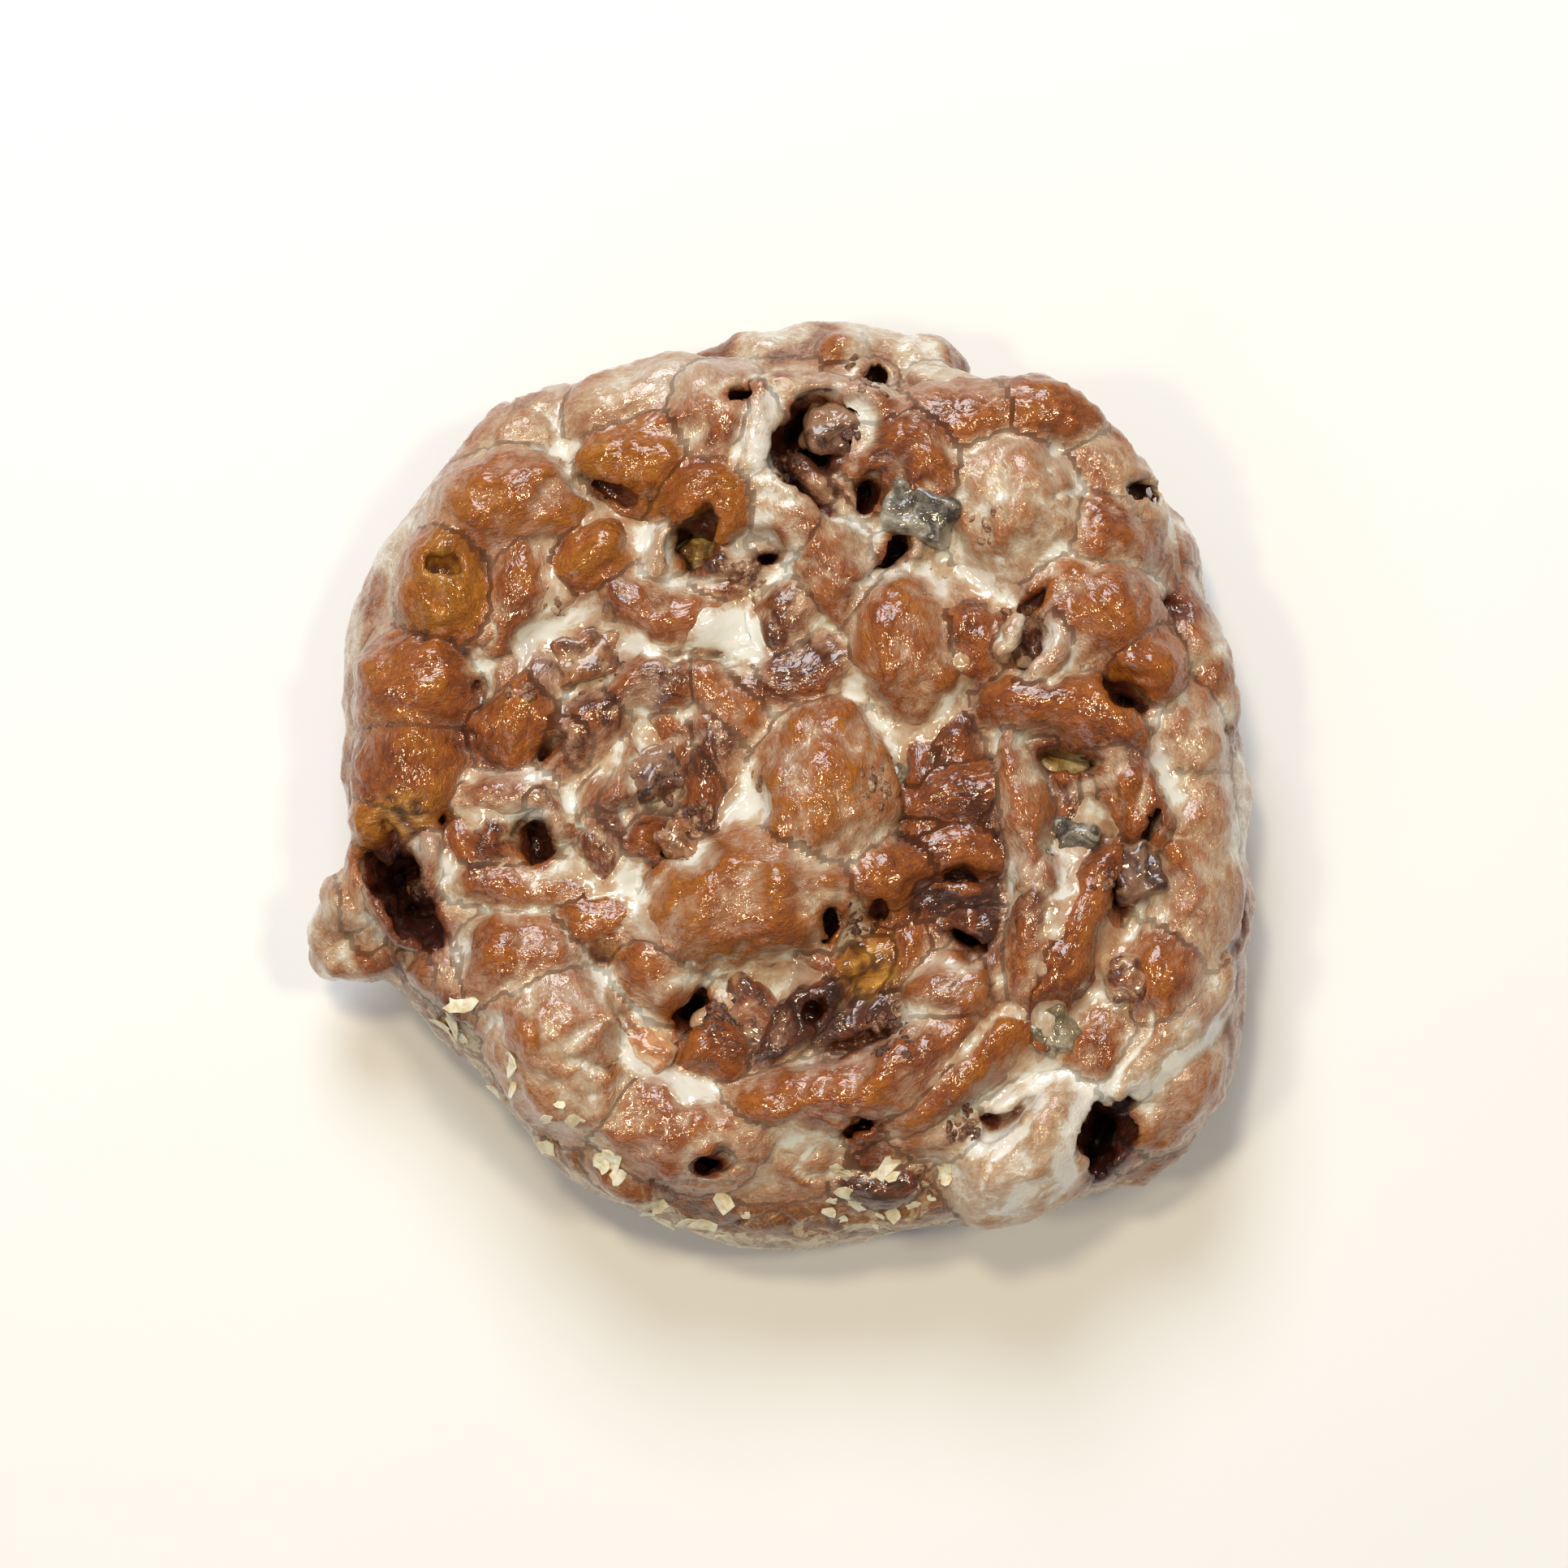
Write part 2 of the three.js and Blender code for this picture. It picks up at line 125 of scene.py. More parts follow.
# Every fold that shows. x, y: its middle. long, wide: its size from above. turn: degrees from +X.
# top: its crest's height. bow: how far its middle is bent. tone: how it is fried, from -1 for dark
# brown to 1 for golden. film: how much glaze covers it, from 0 for bare to 1 for white.
FOLD_FACTS = "x y long wide turn top bow tone film".split()
FOLDS = {
    "west_bubble": (-49.5, 30, 20, 13, 82, 37.5, 0, 1, -0.05),
    "west_inner_slope": (-40.5, 31, 27, 10, 72, 36, -2, 0.1, 0.42),
    "northwest_shoulder": (-41, 41, 26, 16, 22, 38, 0, 0.5, 0.3),
    "northwest_outer": (-39, 49.5, 28, 13, 38, 33, 0, 0, 0.68),
    "north_northwest": (-21, 56, 28, 12, 18, 35, 0, 0.1, 0.38),
    "gold_fold": (-20.5, 48.5, 22, 14, 8, 37, 0, 0.9, 0.15),
    "north_block": (-10.5, 53, 20, 16, 95, 38, 0, 0, 0.5),
    "orange_oval": (-11, 42.5, 16, 11, 5, 38.5, 0, 0.5, -0.05),
    "bridge": (-2.5, 41, 25, 7, -50, 37, 1.5, 0, 0.62),
    "cave_post": (-4, 50.5, 15, 6, 84, 38, 0, 0, 0.97),
    "cave_arch": (6.5, 56, 26, 6, -4, 37, 1, -0.1, 0.55),
    "north_ledge": (9, 64.5, 36, 11, -2, 25, 0, -0.4, 0.72),
    "ledge_brown": (11, 61, 11, 5, 15, 28, 0, -0.5, 0.2),
    "ledge_edge": (25, 59.5, 14, 6, -22, 28, 0, 0, 0.95),
    "ledge_crumb": (9, 66, 7, 5, 0, 27, 0, 0.6, 0.1),
    "north_lobe": (18.5, 47, 22, 12, -28, 38, 2, -0.1, 0.26),
    "northeast_rim": (28, 54.5, 28, 9, 2, 36.5, 0, 0.15, 0.14),
    "northeast_tip": (37.5, 54.5, 19, 10, -12, 36.5, 0, 0.3, 0.06),
    "pale_dome": (33.5, 42, 26, 20, -60, 39, 0, 0.4, 0.7),
    "northeast_outer": (46.5, 47, 25, 10, -48, 34, 0, -0.1, 0.46),
    "northeast_shelf": (46, 37, 18, 13, -10, 36, 0, 0.2, 0.4),
    "east_crag": (45, 25, 24, 16, -25, 38, 0, 0.1, 0.32),
    "east_crag_tip": (53, 18.5, 13, 10, -60, 37, 0, 0.4, 0.05),
    "east_outer": (61, 20, 26, 9, -72, 28, 0, 0, 0.42),
    "east_mid": (58.5, 7, 18, 12, -80, 33, 0, 0, 0.72),
    "east_rim": (59, -14, 46, 14, 92, 34, 0, 0.1, 0.6),
    "east_low": (55.5, -29, 20, 14, 80, 35, 0, 0.05, 0.42),
    "southeast_ridge": (54.5, -38, 28, 8, 45, 34, 0, 0.2, 0.88),
    "southeast_corner": (57, -44.5, 19, 12, 52, 31, 0, 0.7, 0.35),
    "south_southeast": (37, -52, 30, 16, 40, 35, 0, 0.3, 0.95),
    "south_lip": (18, -59.5, 30, 9, 4, 27, 0, 0.4, 0.15),
    "south_flat": (-1, -53, 24, 14, 0, 32, 0, 0.4, 0.62),
    "south_strand": (12, -41, 38, 9, 24, 38, -3, 0.1, 0.34),
    "south_strand_head": (25, -31, 15, 12, 35, 37, 0, 0, 0.5),
    "thin_strand": (26, -43, 26, 5, 36, 36, 0, 0.25, 0.3),
    "short_strand": (20.5, -50.5, 16, 6, 22, 32, 0, 0.35, 0.1),
    "southwest_ridge": (-15, -49, 36, 13, -12, 35, -2, 0.2, 0.55),
    "southwest_dome": (-32, -38, 28, 19, -62, 38, 0, 0.45, 0.66),
    "southwest_mid": (-38, -26, 20, 14, 8, 36, 0, 0.2, 0.4),
    "west_low": (-47, -27.5, 18, 9, -8, 31, 0, 0.4, 0.35),
    "west_post": (-61.5, -12, 16, 6.5, 80, 28, 0, 0.2, 0.55),
    "honeycomb": (-56, -4.5, 16, 8, 4, 33, 0, 1, 0.05),
    "west_lower": (-55, 3, 22, 14, 80, 35, 0, 0.2, 0.12),
    "west_mid": (-54, 14.5, 20, 15, 20, 36, 0, 0.25, 0.12),
    "brown_oval": (-39.5, 9, 16, 11, 52, 35.5, 0, 0.1, -0.05),
    "west_spike": (-40, -1.5, 16, 6, 10, 34, 0, 0, 0.55),
    "hook_left": (-29, 8, 22, 10, 56, 35, 0, -0.3, 0.26),
    "hook_top": (-19.5, 13.5, 20, 9, 8, 35.5, 1.5, -0.4, 0.36),
    "hook_right": (-10, 6.5, 17, 8.5, -72, 35.5, 0, -0.3, 0.46),
    "hook_tail": (-26, -5, 18, 9, 58, 34, 0, 0, 0.32),
    "inner_orange": (-28, 32.5, 12, 9.5, 10, 37, 0, 0.4, 0),
    "pink_ridge": (-19, 26.5, 24, 9, -20, 35.5, 0, 0, 0.36),
    "inner_lobe": (7, 32, 19, 11.5, -50, 37, 0, 0, 0.42),
    "gold_ridge": (-8, 12, 14, 7, -48, 36, 0, 0.2, 0.5),
    "centre_far": (2, 16, 20, 12, 18, 36, 0, -0.3, 0.28),
    "upper_tooth": (18, 19.5, 20, 13, 102, 38.5, 0, 0.3, 0.42),
    "upper_tooth_right": (28.5, 21, 14, 9, 104, 36, 0, -0.1, 0.12),
    "centre_dome": (5.5, -3, 28, 18, 92, 41, 0, 0.5, 0.46),
    "centre_loaf": (-4, -17, 34, 18, 12, 41.5, 1.5, 0.45, 0.38),
    "centre_tip": (13.5, -14, 16, 8, 8, 38.5, 0, 0.1, 0.16),
    "crust_row_far": (25, -2, 17, 10, 12, 36.5, 0, -0.3, -0.1),
    "crust_row_mid": (25, -10.5, 17, 8, 10, 36, 0, -0.3, -0.1),
    "crust_row_near": (25, -16.5, 15, 6, 8, 34, 0, -0.6, 0),
    "right_rib": (35, -13, 38, 6, 94, 38, -1.5, -0.2, 0.55),
    "right_rib_outer": (42.5, -24, 30, 6, 70, 37.5, 1, 0, 0.06),
    "ring_left": (33.6, 20.6, 8, 2.6, 82, 38.5, 0.6, 0, 1),
    "ring_right": (38, 19.2, 9, 2.6, 70, 38.5, -0.8, 0, 1),
    "right_hook": (42, 9, 26, 8.5, -16, 38, 2, 0, 0.2),
    "right_hook_tail": (50.5, 0.5, 22, 9, -66, 36.5, 0, 0, 0.32),
    "southeast_inner": (46.5, -38.5, 16, 11, 62, 34, 0, 0.2, 0.4),
    "gold_valley": (11, -27, 16, 9, 8, 33, 0, 0.8, 0.02),
    "blister_left": (-24, -21, 18, 9, -8, 35.5, 0, 0.3, 0.2),
    "blister_right": (-18.5, -27, 13, 10.5, 10, 36, 0, 0.1, 0.42),
    "cave_crust": (-42.5, -10.5, 13, 7, -22, 33, 0, 0.2, 0.08),
    "cave_strand": (-37, -15, 20, 5, -8, 34, 0, 0, 0.5),
    "pocket_bit": (-10.5, -40, 11, 7, -10, 33, 0, 0, 0.1),
    "dark_strand": (13.5, -33.5, 16, 5.5, 28, 33.5, 0, -0.7, 0.08),
    "pale_shoulder": (-22.5, -11.5, 14, 8, -25, 34, 0, 0.2, 0.66),
}
folds = {name: dict(zip(FOLD_FACTS, facts)) for name, facts in FOLDS.items()}
TALL_SHARE = 1.05  # a fold is this much taller than it is wide
SPREAD = 1.22  # the folds press into each other by this much
RIM_SHARE = 0.97  # and they stand this far in from the side
for fold in folds.values():
    fold["wide"] *= SPREAD
    fold["long"] *= 1 + (SPREAD - 1) / 3
    fold["x"] *= RIM_SHARE
    fold["y"] *= RIM_SHARE

# Scraps of dough fill the places between them, strewn evenly by turning a fixed angle each time.
SCRAPS = 120
SCRAP_REACH = 60
BROAD = 15  # no scrap lies on a fold that is wider than this
RUBBLE = (16, -16, 34)  # x, y and reach of the part where the scraps are nearly bare of glaze
GOLDEN_TURN = math.pi * (3 - math.sqrt(5))
scraps = {}
draw = random.Random(3)
for i in range(SCRAPS):
    spiral = SCRAP_REACH * math.sqrt((i + 0.5) / SCRAPS)
    angle = i * GOLDEN_TURN + draw.uniform(-0.1, 0.1)
    wide = draw.uniform(4, 7.5)
    x, y = spiral * math.cos(angle), spiral * math.sin(angle)
    rubble = math.hypot(x - RUBBLE[0], y - RUBBLE[1]) < RUBBLE[2]
    if any(
        fold["wide"] > BROAD and math.hypot(x - fold["x"], y - fold["y"]) < fold["wide"] * 0.62
        for fold in folds.values()
    ):
        continue
    scraps[f"scrap_{i}"] = {
        "x": x, "y": y,
        "long": wide * draw.uniform(1.5, 3), "wide": wide,
        "turn": math.degrees(angle) + 90 + draw.uniform(-50, 50),
        "top": draw.uniform(33, 36) - 4 * (spiral / SCRAP_REACH) ** 6, "bow": draw.uniform(-1.5, 1.5),
        "tone": draw.uniform(-1, 0.1), "film": draw.uniform(0, 0.25) if rubble else draw.uniform(0.3, 0.7),
    }
folds.update(scraps)

bm = bmesh.new()
add_ball(bm, on_body, BALLS[6])
for name, fold in folds.items():
    tall = fold["wide"] * TALL_SHARE
    add_lump(
        bm, fold["x"], fold["y"], fold["top"] - tall / 2,
        fold["long"], fold["wide"], tall, fold["turn"], fold["bow"],
        rough=0.12, fineness=3 if name in scraps else 4,
    )

# The side swells into unequal bulges between creases.
BULGES = 19
draw = random.Random(7)
for i in range(BULGES):
    angle = (i + draw.uniform(-0.25, 0.25)) * math.tau / BULGES
    tall = draw.uniform(14, 22)
    height = draw.uniform(10, 18)
    out = reach(angle) / MM - draw.uniform(5.2, 6)
    add_lump(
        bm, out * math.cos(angle), out * math.sin(angle), height,
        draw.uniform(20, 32), 11, tall, math.degrees(angle) + 90, rough=0.14,
    )

# The knob at the left: a lump that the oil drew out of the side, with two smaller ones on it.
KNOBS = [
    (-60, -21.5, 17, 18, 12.5, 14, 12),
    (-65, -20.5, 18.5, 8.5, 9, 9, 40),
    (-63.5, -16.5, 22, 7, 9, 9, -15),
]
for knob in KNOBS:
    add_lump(bm, *knob, rough=0.16)


def add_object(name, bm):
    mesh = bpy.data.meshes.new(name)
    bm.to_mesh(mesh)
    bm.free()
    obj = bpy.data.objects.new(name, mesh)
    bpy.context.scene.collection.objects.link(obj)
    return obj


def settle(obj):
    """Applies the object's modifiers to its mesh."""
    depsgraph = bpy.context.evaluated_depsgraph_get()
    mesh = bpy.data.meshes.new_from_object(obj.evaluated_get(depsgraph))
    obj.modifiers.clear()
    obj.data = mesh


def grow_together(obj, grain):
    remesh = obj.modifiers.new("grow_together", "REMESH")
    remesh.mode = "VOXEL"
    remesh.voxel_size = grain * MM
    settle(obj)


FIRST_GRAIN = 1.0
HOLLOW_GRAIN = 0.5
GRAIN = 0.8
dough = add_object("fried_dough", bm)
grow_together(dough, FIRST_GRAIN)

# The gaps between the folds, from caves down to pinholes. mouth: the brim's height. depth: how deep
# the gap goes under it.
GAP_FACTS = "x y long wide turn mouth depth".split()
GAPS = {
    "far_cave": (4, 49.5, 14, 10, 55, 38, 17),
    "far_cave_front": (4, 42.5, 13, 7, -35, 37, 13),
    "far_cave_right": (11.5, 42, 6.5, 5, 10, 36, 12),
    "far_slot": (-6, 55, 7, 4, 8, 38, 13),
    "yellow_well": (-12.3, 34, 9, 8, 0, 35, 12),
    "orange_slot": (-2.6, 33.5, 6.5, 4, 75, 36, 11),
    "black_slot": (15.8, 33.3, 6, 4.6, 60, 36, 14),
    "left_cave": (-53.8, -15.5, 17, 10, -62, 34, 21),
    "left_well": (-35.6, -8.6, 8, 4.2, -62, 34, 11),
    "dark_well": (-14, -31.5, 8, 5.6, 4, 35, 15),
    "round_well": (26, -22.5, 5.6, 4.2, 0, 34, 13),
    "front_slot": (11, -49, 6.2, 3.6, 5, 34, 12),
    "front_hole": (-10.2, -53.5, 5.8, 4, 15, 34, 13),
    "corner_cave": (46, -50.5, 13, 8, 62, 33, 22),
    "right_slit": (41, 2.2, 9.5, 3.8, 4, 36, 11),
    "right_slot": (48.5, 12, 8, 3.6, -24, 36, 10),
    "pinhole": (-47.8, -5.7, 3, 2.6, 0, 34, 8),
    "shoulder_slit": (-25, 41.5, 12, 2.6, -24, 36, 6),
    "west_nick": (-44.6, 14.5, 2.6, 4, 20, 35, 6),
    "hook_slit": (-33.5, 4.2, 7, 2, 50, 34, 6),
    "ledge_hole": (13.3, 60, 5, 4, 20, 28, 10),
    "ledge_pinhole": (17.6, 60, 2, 3, 0, 27, 6),
    "east_nick": (50.5, 42, 4, 3.2, -50, 34, 7),
    "east_slit": (56.5, 25.8, 7, 2.4, -28, 32, 8),
    "ring_hole": (35.3, 20.6, 4, 2.2, 25, 36, 6),
    "valley_hole": (6.3, -20.5, 5, 3.4, 30, 36, 8),
    "strand_hole": (29.5, -47.2, 4, 3, 35, 34, 8),
    "bubble_hole": (-48.6, 30.6, 6.6, 5.2, -20, 38, 4.5),
    "blister_hole": (-25.5, -23.6, 4, 2.6, 20, 37, 4),
    "loaf_tip_hole": (14, -18.5, 4.5, 3, 20, 35, 9),
    "row_crack": (25.5, -13.6, 11, 2.2, 8, 34, 6),
    "wedge_hole": (48, -17, 5, 3.4, 70, 35, 9),
    "bits_hole": (36, 26, 5, 3, 60, 36, 6),
    "crumb_hole": (4.3, -33, 4.4, 3.4, 10, 34, 7),
    "strand_crack": (11, -36.5, 15, 2, 27, 34, 5),
    "shelf_crack": (32, -47.5, 9, 2.4, 38, 34, 6),
    "hook_pit": (-14, -9, 5, 2.6, 40, 36, 6),
    "west_crack": (-46, 6, 10, 1.8, 30, 35, 5),
    "ridge_crack": (-12, 18, 14, 1.8, -12, 35, 4),
    "rim_crack": (52, -4, 12, 1.8, 80, 34, 5),
    "dome_crack": (-17, -9.5, 16, 2, 62, 36, 5),
    "lobe_crack": (-22.5, -34, 12, 2, -60, 36, 5),
    "side_hole": (51.7, 42.5, 5, 4, -50, 30, 8),
}
gaps = {name: dict(zip(GAP_FACTS, facts)) for name, facts in GAPS.items()}
HEADROOM = 7  # how far a gap's cutting shape reaches above its brim
WALL_WAVES = [(2.2, 0.7), (5, 0.5)]  # how wide the unevenness of its wall is, and how strong


# An egg that narrows as it goes down, with an uneven wall.
def add_gap(bm, x, y, long, wide, turn, mouth, depth):
    middle = Vector((x, y, mouth))

    def place(point):
        tall = HEADROOM if point.z > 0 else depth
        half = Vector((point.x * long / 2, point.y * wide / 2, point.z * tall))
        ragged = 1 + sum(share * noise.noise(half / size + middle) for size, share in WALL_WAVES)
        half = Vector((half.x * ragged, half.y * ragged, half.z))
        half.rotate(Matrix.Rotation(math.radians(turn), 3, "Z"))
        return (half + middle) * MM

    add_ball(bm, place)


bm = bmesh.new()
for gap in gaps.values():
    add_gap(bm, **gap)
hollows = add_object("hollows", bm)
grow_together(hollows, HOLLOW_GRAIN)
cut = dough.modifiers.new("cut", "BOOLEAN")
cut.operation = "DIFFERENCE"
cut.solver = "MANIFOLD"
cut.object = hollows
settle(dough)
bpy.data.objects.remove(hollows)

# Bits of dough that stand in the caves.
INNER = {
    "cave_tongue": (4.2, 44, 10, 4.4, -52, 33, 0, 0, 1),
    "cave_floor": (0.5, 47.5, 8, 5, 40, 27, 0, -0.6, 0.1),
    "cave_side": (8.5, 40.5, 6, 3.4, 70, 33.5, 0, 0, 0.9),
    "left_cave_lip": (-59, -19, 8, 5.4, 62, 25, 0, 0.1, 0.8),
    "left_cave_floor": (-52.6, -15, 6, 4.5, -62, 21, 0, -0.6, 0.1),
    "well_bridge": (-1.2, 34.5, 7, 2.6, 20, 33, 0, 0, 0.9),
    "corner_wall": (50.5, -50, 10, 6, 60, 25, 0, 0, 0.05),
}
INNER_TALL_SHARE = 1.6  # they are this much taller than they are wide
inner = {name: dict(zip(FOLD_FACTS, facts)) for name, facts in INNER.items()}
bm = bmesh.new()
bm.from_mesh(dough.data)
for bit in inner.values():
    tall = bit["wide"] * INNER_TALL_SHARE
    add_lump(
        bm, bit["x"], bit["y"], bit["top"] - tall / 2,
        bit["long"], bit["wide"], tall, bit["turn"], rough=0.2,
    )
bm.to_mesh(dough.data)
bm.free()
grow_together(dough, GRAIN)


# ---- How the crust is uneven: swells, lumps and wrinkles, each as wide and high as named ----
def points_of(obj):
    flat = np.empty(len(obj.data.vertices) * 3)
    obj.data.vertices.foreach_get("co", flat)
    return flat.reshape(-1, 3)


def normals_of(obj):
    flat = np.empty(len(obj.data.vertices) * 3)
    obj.data.vertices.foreach_get("normal", flat)
    return flat.reshape(-1, 3)


def move_points(obj, points):
    obj.data.vertices.foreach_set("co", points.ravel())
    obj.data.update()


# Smooth random numbers from about -1 to 1, one for each point, on waves of one size.
def waves(points, size, seed=0.0):
    places = (points / (size * MM) + seed).tolist()
    return np.array([noise.noise(place) for place in places])


# The mesh's points drawn towards their neighbours, again and again.
def relaxed(obj, points, rounds):
    edges = np.empty(len(obj.data.edges) * 2, dtype=int)
    obj.data.edges.foreach_get("vertices", edges)
    one, other = edges.reshape(-1, 2).T
    count = len(points)
    near = np.bincount(one, minlength=count) + np.bincount(other, minlength=count)
    near = np.maximum(near, 1)[:, None]
    points = points.copy()
    for _ in range(rounds):
        mean = np.stack([
            np.bincount(one, points[other, axis], count) + np.bincount(other, points[one, axis], count)
            for axis in range(points.shape[1])
        ], axis=1) / near
        points += 0.5 * (mean - points)
    return points


# From 0 below low to 1 above high, with soft ends.
def step(low, high, value):
    share = np.clip((value - low) / (high - low), 0, 1)
    return share * share * (3 - 2 * share)


# How far points lie along a heading and across it.
def along_across(x, y, heading):
    turn = math.radians(heading)
    return x * math.cos(turn) + y * math.sin(turn), y * math.cos(turn) - x * math.sin(turn)


RUN_SHARE = 0.6  # the wrinkles are drawn out along the fold by this much
BESIDE = 3  # points further from a fold than this take nothing from it
FADE = 0.45  # how fast a fold's say fades outside it
BODY_SAY = 0.08  # the body's own say between the folds, with its own tone and film
BODY_TONE = 0.1
BODY_FILM = 0.35
RUN_SHIFT = 7  # keeps the wrinkles of one fold apart from those of the next


def nearness(points, fold, tall):
    """Which points are beside a fold, how near from 0 to 1 on its surface, and where along it."""
    offset = points / MM - np.array([fold["x"], fold["y"], fold["top"] - tall / 2])
    beside = np.flatnonzero(np.abs(offset).max(axis=1) < fold["long"] / 2 + BESIDE)
    x, y, z = offset[beside].T
    along, across = along_across(x, y, fold["turn"])
    along = along / (fold["long"] / 2)
    across = (across - fold["bow"] * (1 - 2 * along ** 2)) / (fold["wide"] / 2)
    outside = (np.sqrt(along ** 2 + across ** 2 + (z / (tall / 2)) ** 2) - 1) * fold["wide"] / 2
    run = np.stack([along * fold["long"] / 2 * RUN_SHARE, across * fold["wide"] / 2, z], axis=1)
    return beside, np.exp(-np.maximum(outside, 0) / FADE), run * MM


def fold_values(points):
    """The tone and the film of glaze at each point, and where it lies on its strongest fold."""
    total = np.full(len(points), BODY_SAY)
    tone = total * BODY_TONE
    film = total * BODY_FILM
    run = points.copy()
    most = np.full(len(points), 0.1)
    for group, share in ((folds, TALL_SHARE), (inner, INNER_TALL_SHARE)):
        for fold in group.values():
            beside, weight, fold_run = nearness(points, fold, fold["wide"] * share)
            total[beside] += weight
            tone[beside] += weight * fold["tone"]
            film[beside] += weight * fold["film"]
            ahead = weight > most[beside]
            run[beside[ahead]] = fold_run[ahead] + fold["x"] * RUN_SHIFT * MM
            most[beside[ahead]] = weight[ahead]
    return tone / total, film / total, run


unmoved = relaxed(dough, points_of(dough), 1)
tone, film, run = fold_values(unmoved)
tone, film = relaxed(dough, np.stack([tone, film], axis=1), 4).T
bare = 1 - step(0.04, 0.2, film)
topside = step(0, 12, unmoved[:, 2] / MM)
inward = 1 - step(52, 64, np.hypot(unmoved[:, 0], unmoved[:, 1]) / MM)

# The folds drift from their places by so much along X, Y and Z, in waves of one size.
DRIFT = np.array([1.8, 1.8, 1.0])
DRIFT_SIZE = 9
drift = np.stack([waves(unmoved, DRIFT_SIZE, seed) for seed in (4.4, 17.3, 40.1)], axis=1)
points = unmoved + drift * DRIFT * (topside * (0.3 + 0.7 * inward))[:, None] * MM
move_points(dough, points)

# Each kind of unevenness: how high it stands, the size of its waves, and their seed.
SWELLS = [(0.42, 9, 0.0), (0.12, 4, 3.7)]
RIDGES = [(0.2, 6, 9.1), (0.18, 2.4, 6.3)]
CRACK_DEPTH = 0.6
SMOOTH_DOME = (2, -9)  # no cracks run near here
lift = sum(height * waves(points, size, seed) for height, size, seed in SWELLS)
lift += sum(height * (1 - 3 * np.abs(waves(points, size, seed))) for height, size, seed in RIDGES)
lift *= 0.75 + 0.25 * inward
crack = 1 - step(0, 0.09, np.abs(waves(points, 11, 5.2)))
crack *= step(0, 0.25, waves(points, 14, 7.7)) * step(16, 30, points[:, 2] / MM) * (1 - bare)
crack *= step(10, 22, np.hypot(points[:, 0] / MM - SMOOTH_DOME[0], points[:, 1] / MM - SMOOTH_DOME[1]))
lift -= CRACK_DEPTH * crack
points = points + normals_of(dough) * lift[:, None] * MM
move_points(dough, points)

# Crests rise and creases sink, to undo what the even grain has rounded off.
SHARPEN = [(4, 0.2), (14, 0.5)]  # rounds of easing that find the relief, and how much of it is added
MOST_SUNK = 1.3
MOST_RAISED = 0.8
normals = normals_of(dough)
relief = np.zeros(len(points))
for rounds, share in SHARPEN:
    eased = relaxed(dough, points, rounds)
    relief += share * np.sum((points - eased) * normals, axis=1)
relief = np.clip(relief, -MOST_SUNK * MM, MOST_RAISED * MM) * (0.2 + 0.8 * topside)
points = points + normals * relief[:, None]

# The dough makes a bed round each dice of apple that lies near the top, so that the dice shows.
BED_DEPTH = 1.5
BED_SLOPE = 6
NEAR_TOP = 34
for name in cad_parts:
    low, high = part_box(name)
    if name == "dough" or high[2] < NEAR_TOP * MM:
        continue
    half = (high[0] - low[0] + high[1] - low[1]) / 4
    off = np.hypot(points[:, 0] - (low[0] + high[0]) / 2, points[:, 1] - (low[1] + high[1]) / 2) / half
    bed = high[2] + (BED_SLOPE * np.maximum(off - 0.8, 0) - BED_DEPTH) * MM
    points[:, 2] = np.where(off < 1.6, np.minimum(points[:, 2], bed), points[:, 2])
points[:, 2] = np.maximum(points[:, 2], 0)
move_points(dough, points)


# ---- What each place of the crust shows: its tone, its film of glaze, and how deep it lies ----
PAST_EDGE = 0.7  # the painted shade of a gap reaches this far past its edge


def gap_values(points):
    """How far each point lies under the brim of a gap, and how near it is to a brim, from 0 to 1."""
    deep = np.zeros(len(points))
    brim = np.zeros(len(points))
    for gap in gaps.values():
        along, across = along_across(points[:, 0] / MM - gap["x"], points[:, 1] / MM - gap["y"], gap["turn"])
        off = np.hypot(along / (gap["long"] / 2 + PAST_EDGE), across / (gap["wide"] / 2 + PAST_EDGE))
        inside = 1 - step(0.7, 1.25, off)
        around_gap = step(0.8, 1, off) * (1 - step(1.1, 1.7, off))
        brim = np.maximum(brim, around_gap * step(gap["mouth"] - 7, gap["mouth"] - 3, points[:, 2] / MM))
        under = np.clip(gap["mouth"] - 1 - points[:, 2] / MM, 0, 30)
        under = np.where(points[:, 2] / MM > gap["mouth"] - gap["depth"] - 3, under, 0)
        deep = np.maximum(deep, inside * under)
    return deep, brim


SKY_RAYS = 10
SKY_REACH = 14
SKY_WIDTH = 0.85  # 1 would take in the whole sky down to the floor
SKY_FLOOR = 15  # points lower than this aren't asked


def shelter(obj, points, normals):
    """The share of the sky over each point that the dough near it hides."""
    surface = BVHTree.FromObject(obj, bpy.context.evaluated_depsgraph_get())
    sky = []
    for i in range(SKY_RAYS):
        out = math.sqrt((i + 0.5) / SKY_RAYS) * SKY_WIDTH
        turn = i * GOLDEN_TURN
        sky.append(Vector((out * math.cos(turn), out * math.sin(turn), math.sqrt(1 - out * out))))
    hidden = np.zeros(len(points))
    starts = (points + normals * 0.3 * MM).tolist()
    for index in np.flatnonzero(points[:, 2] > SKY_FLOOR * MM).tolist():
        start = Vector(starts[index])
        hits = sum(surface.ray_cast(start, ray, SKY_REACH * MM)[0] is not None for ray in sky)
        hidden[index] = hits / SKY_RAYS
    return hidden


def write_values(obj, **values):
    attributes = obj.data.attributes
    for name, numbers in values.items():
        attribute = attributes.get(name) or attributes.new(name, "FLOAT", "POINT")
        attribute.data.foreach_set("value", numbers.astype(np.float32))


def write_run(obj, run):
    attribute = obj.data.attributes.new("run", "FLOAT_VECTOR", "POINT")
    attribute.data.foreach_set("vector", run.astype(np.float32).ravel())


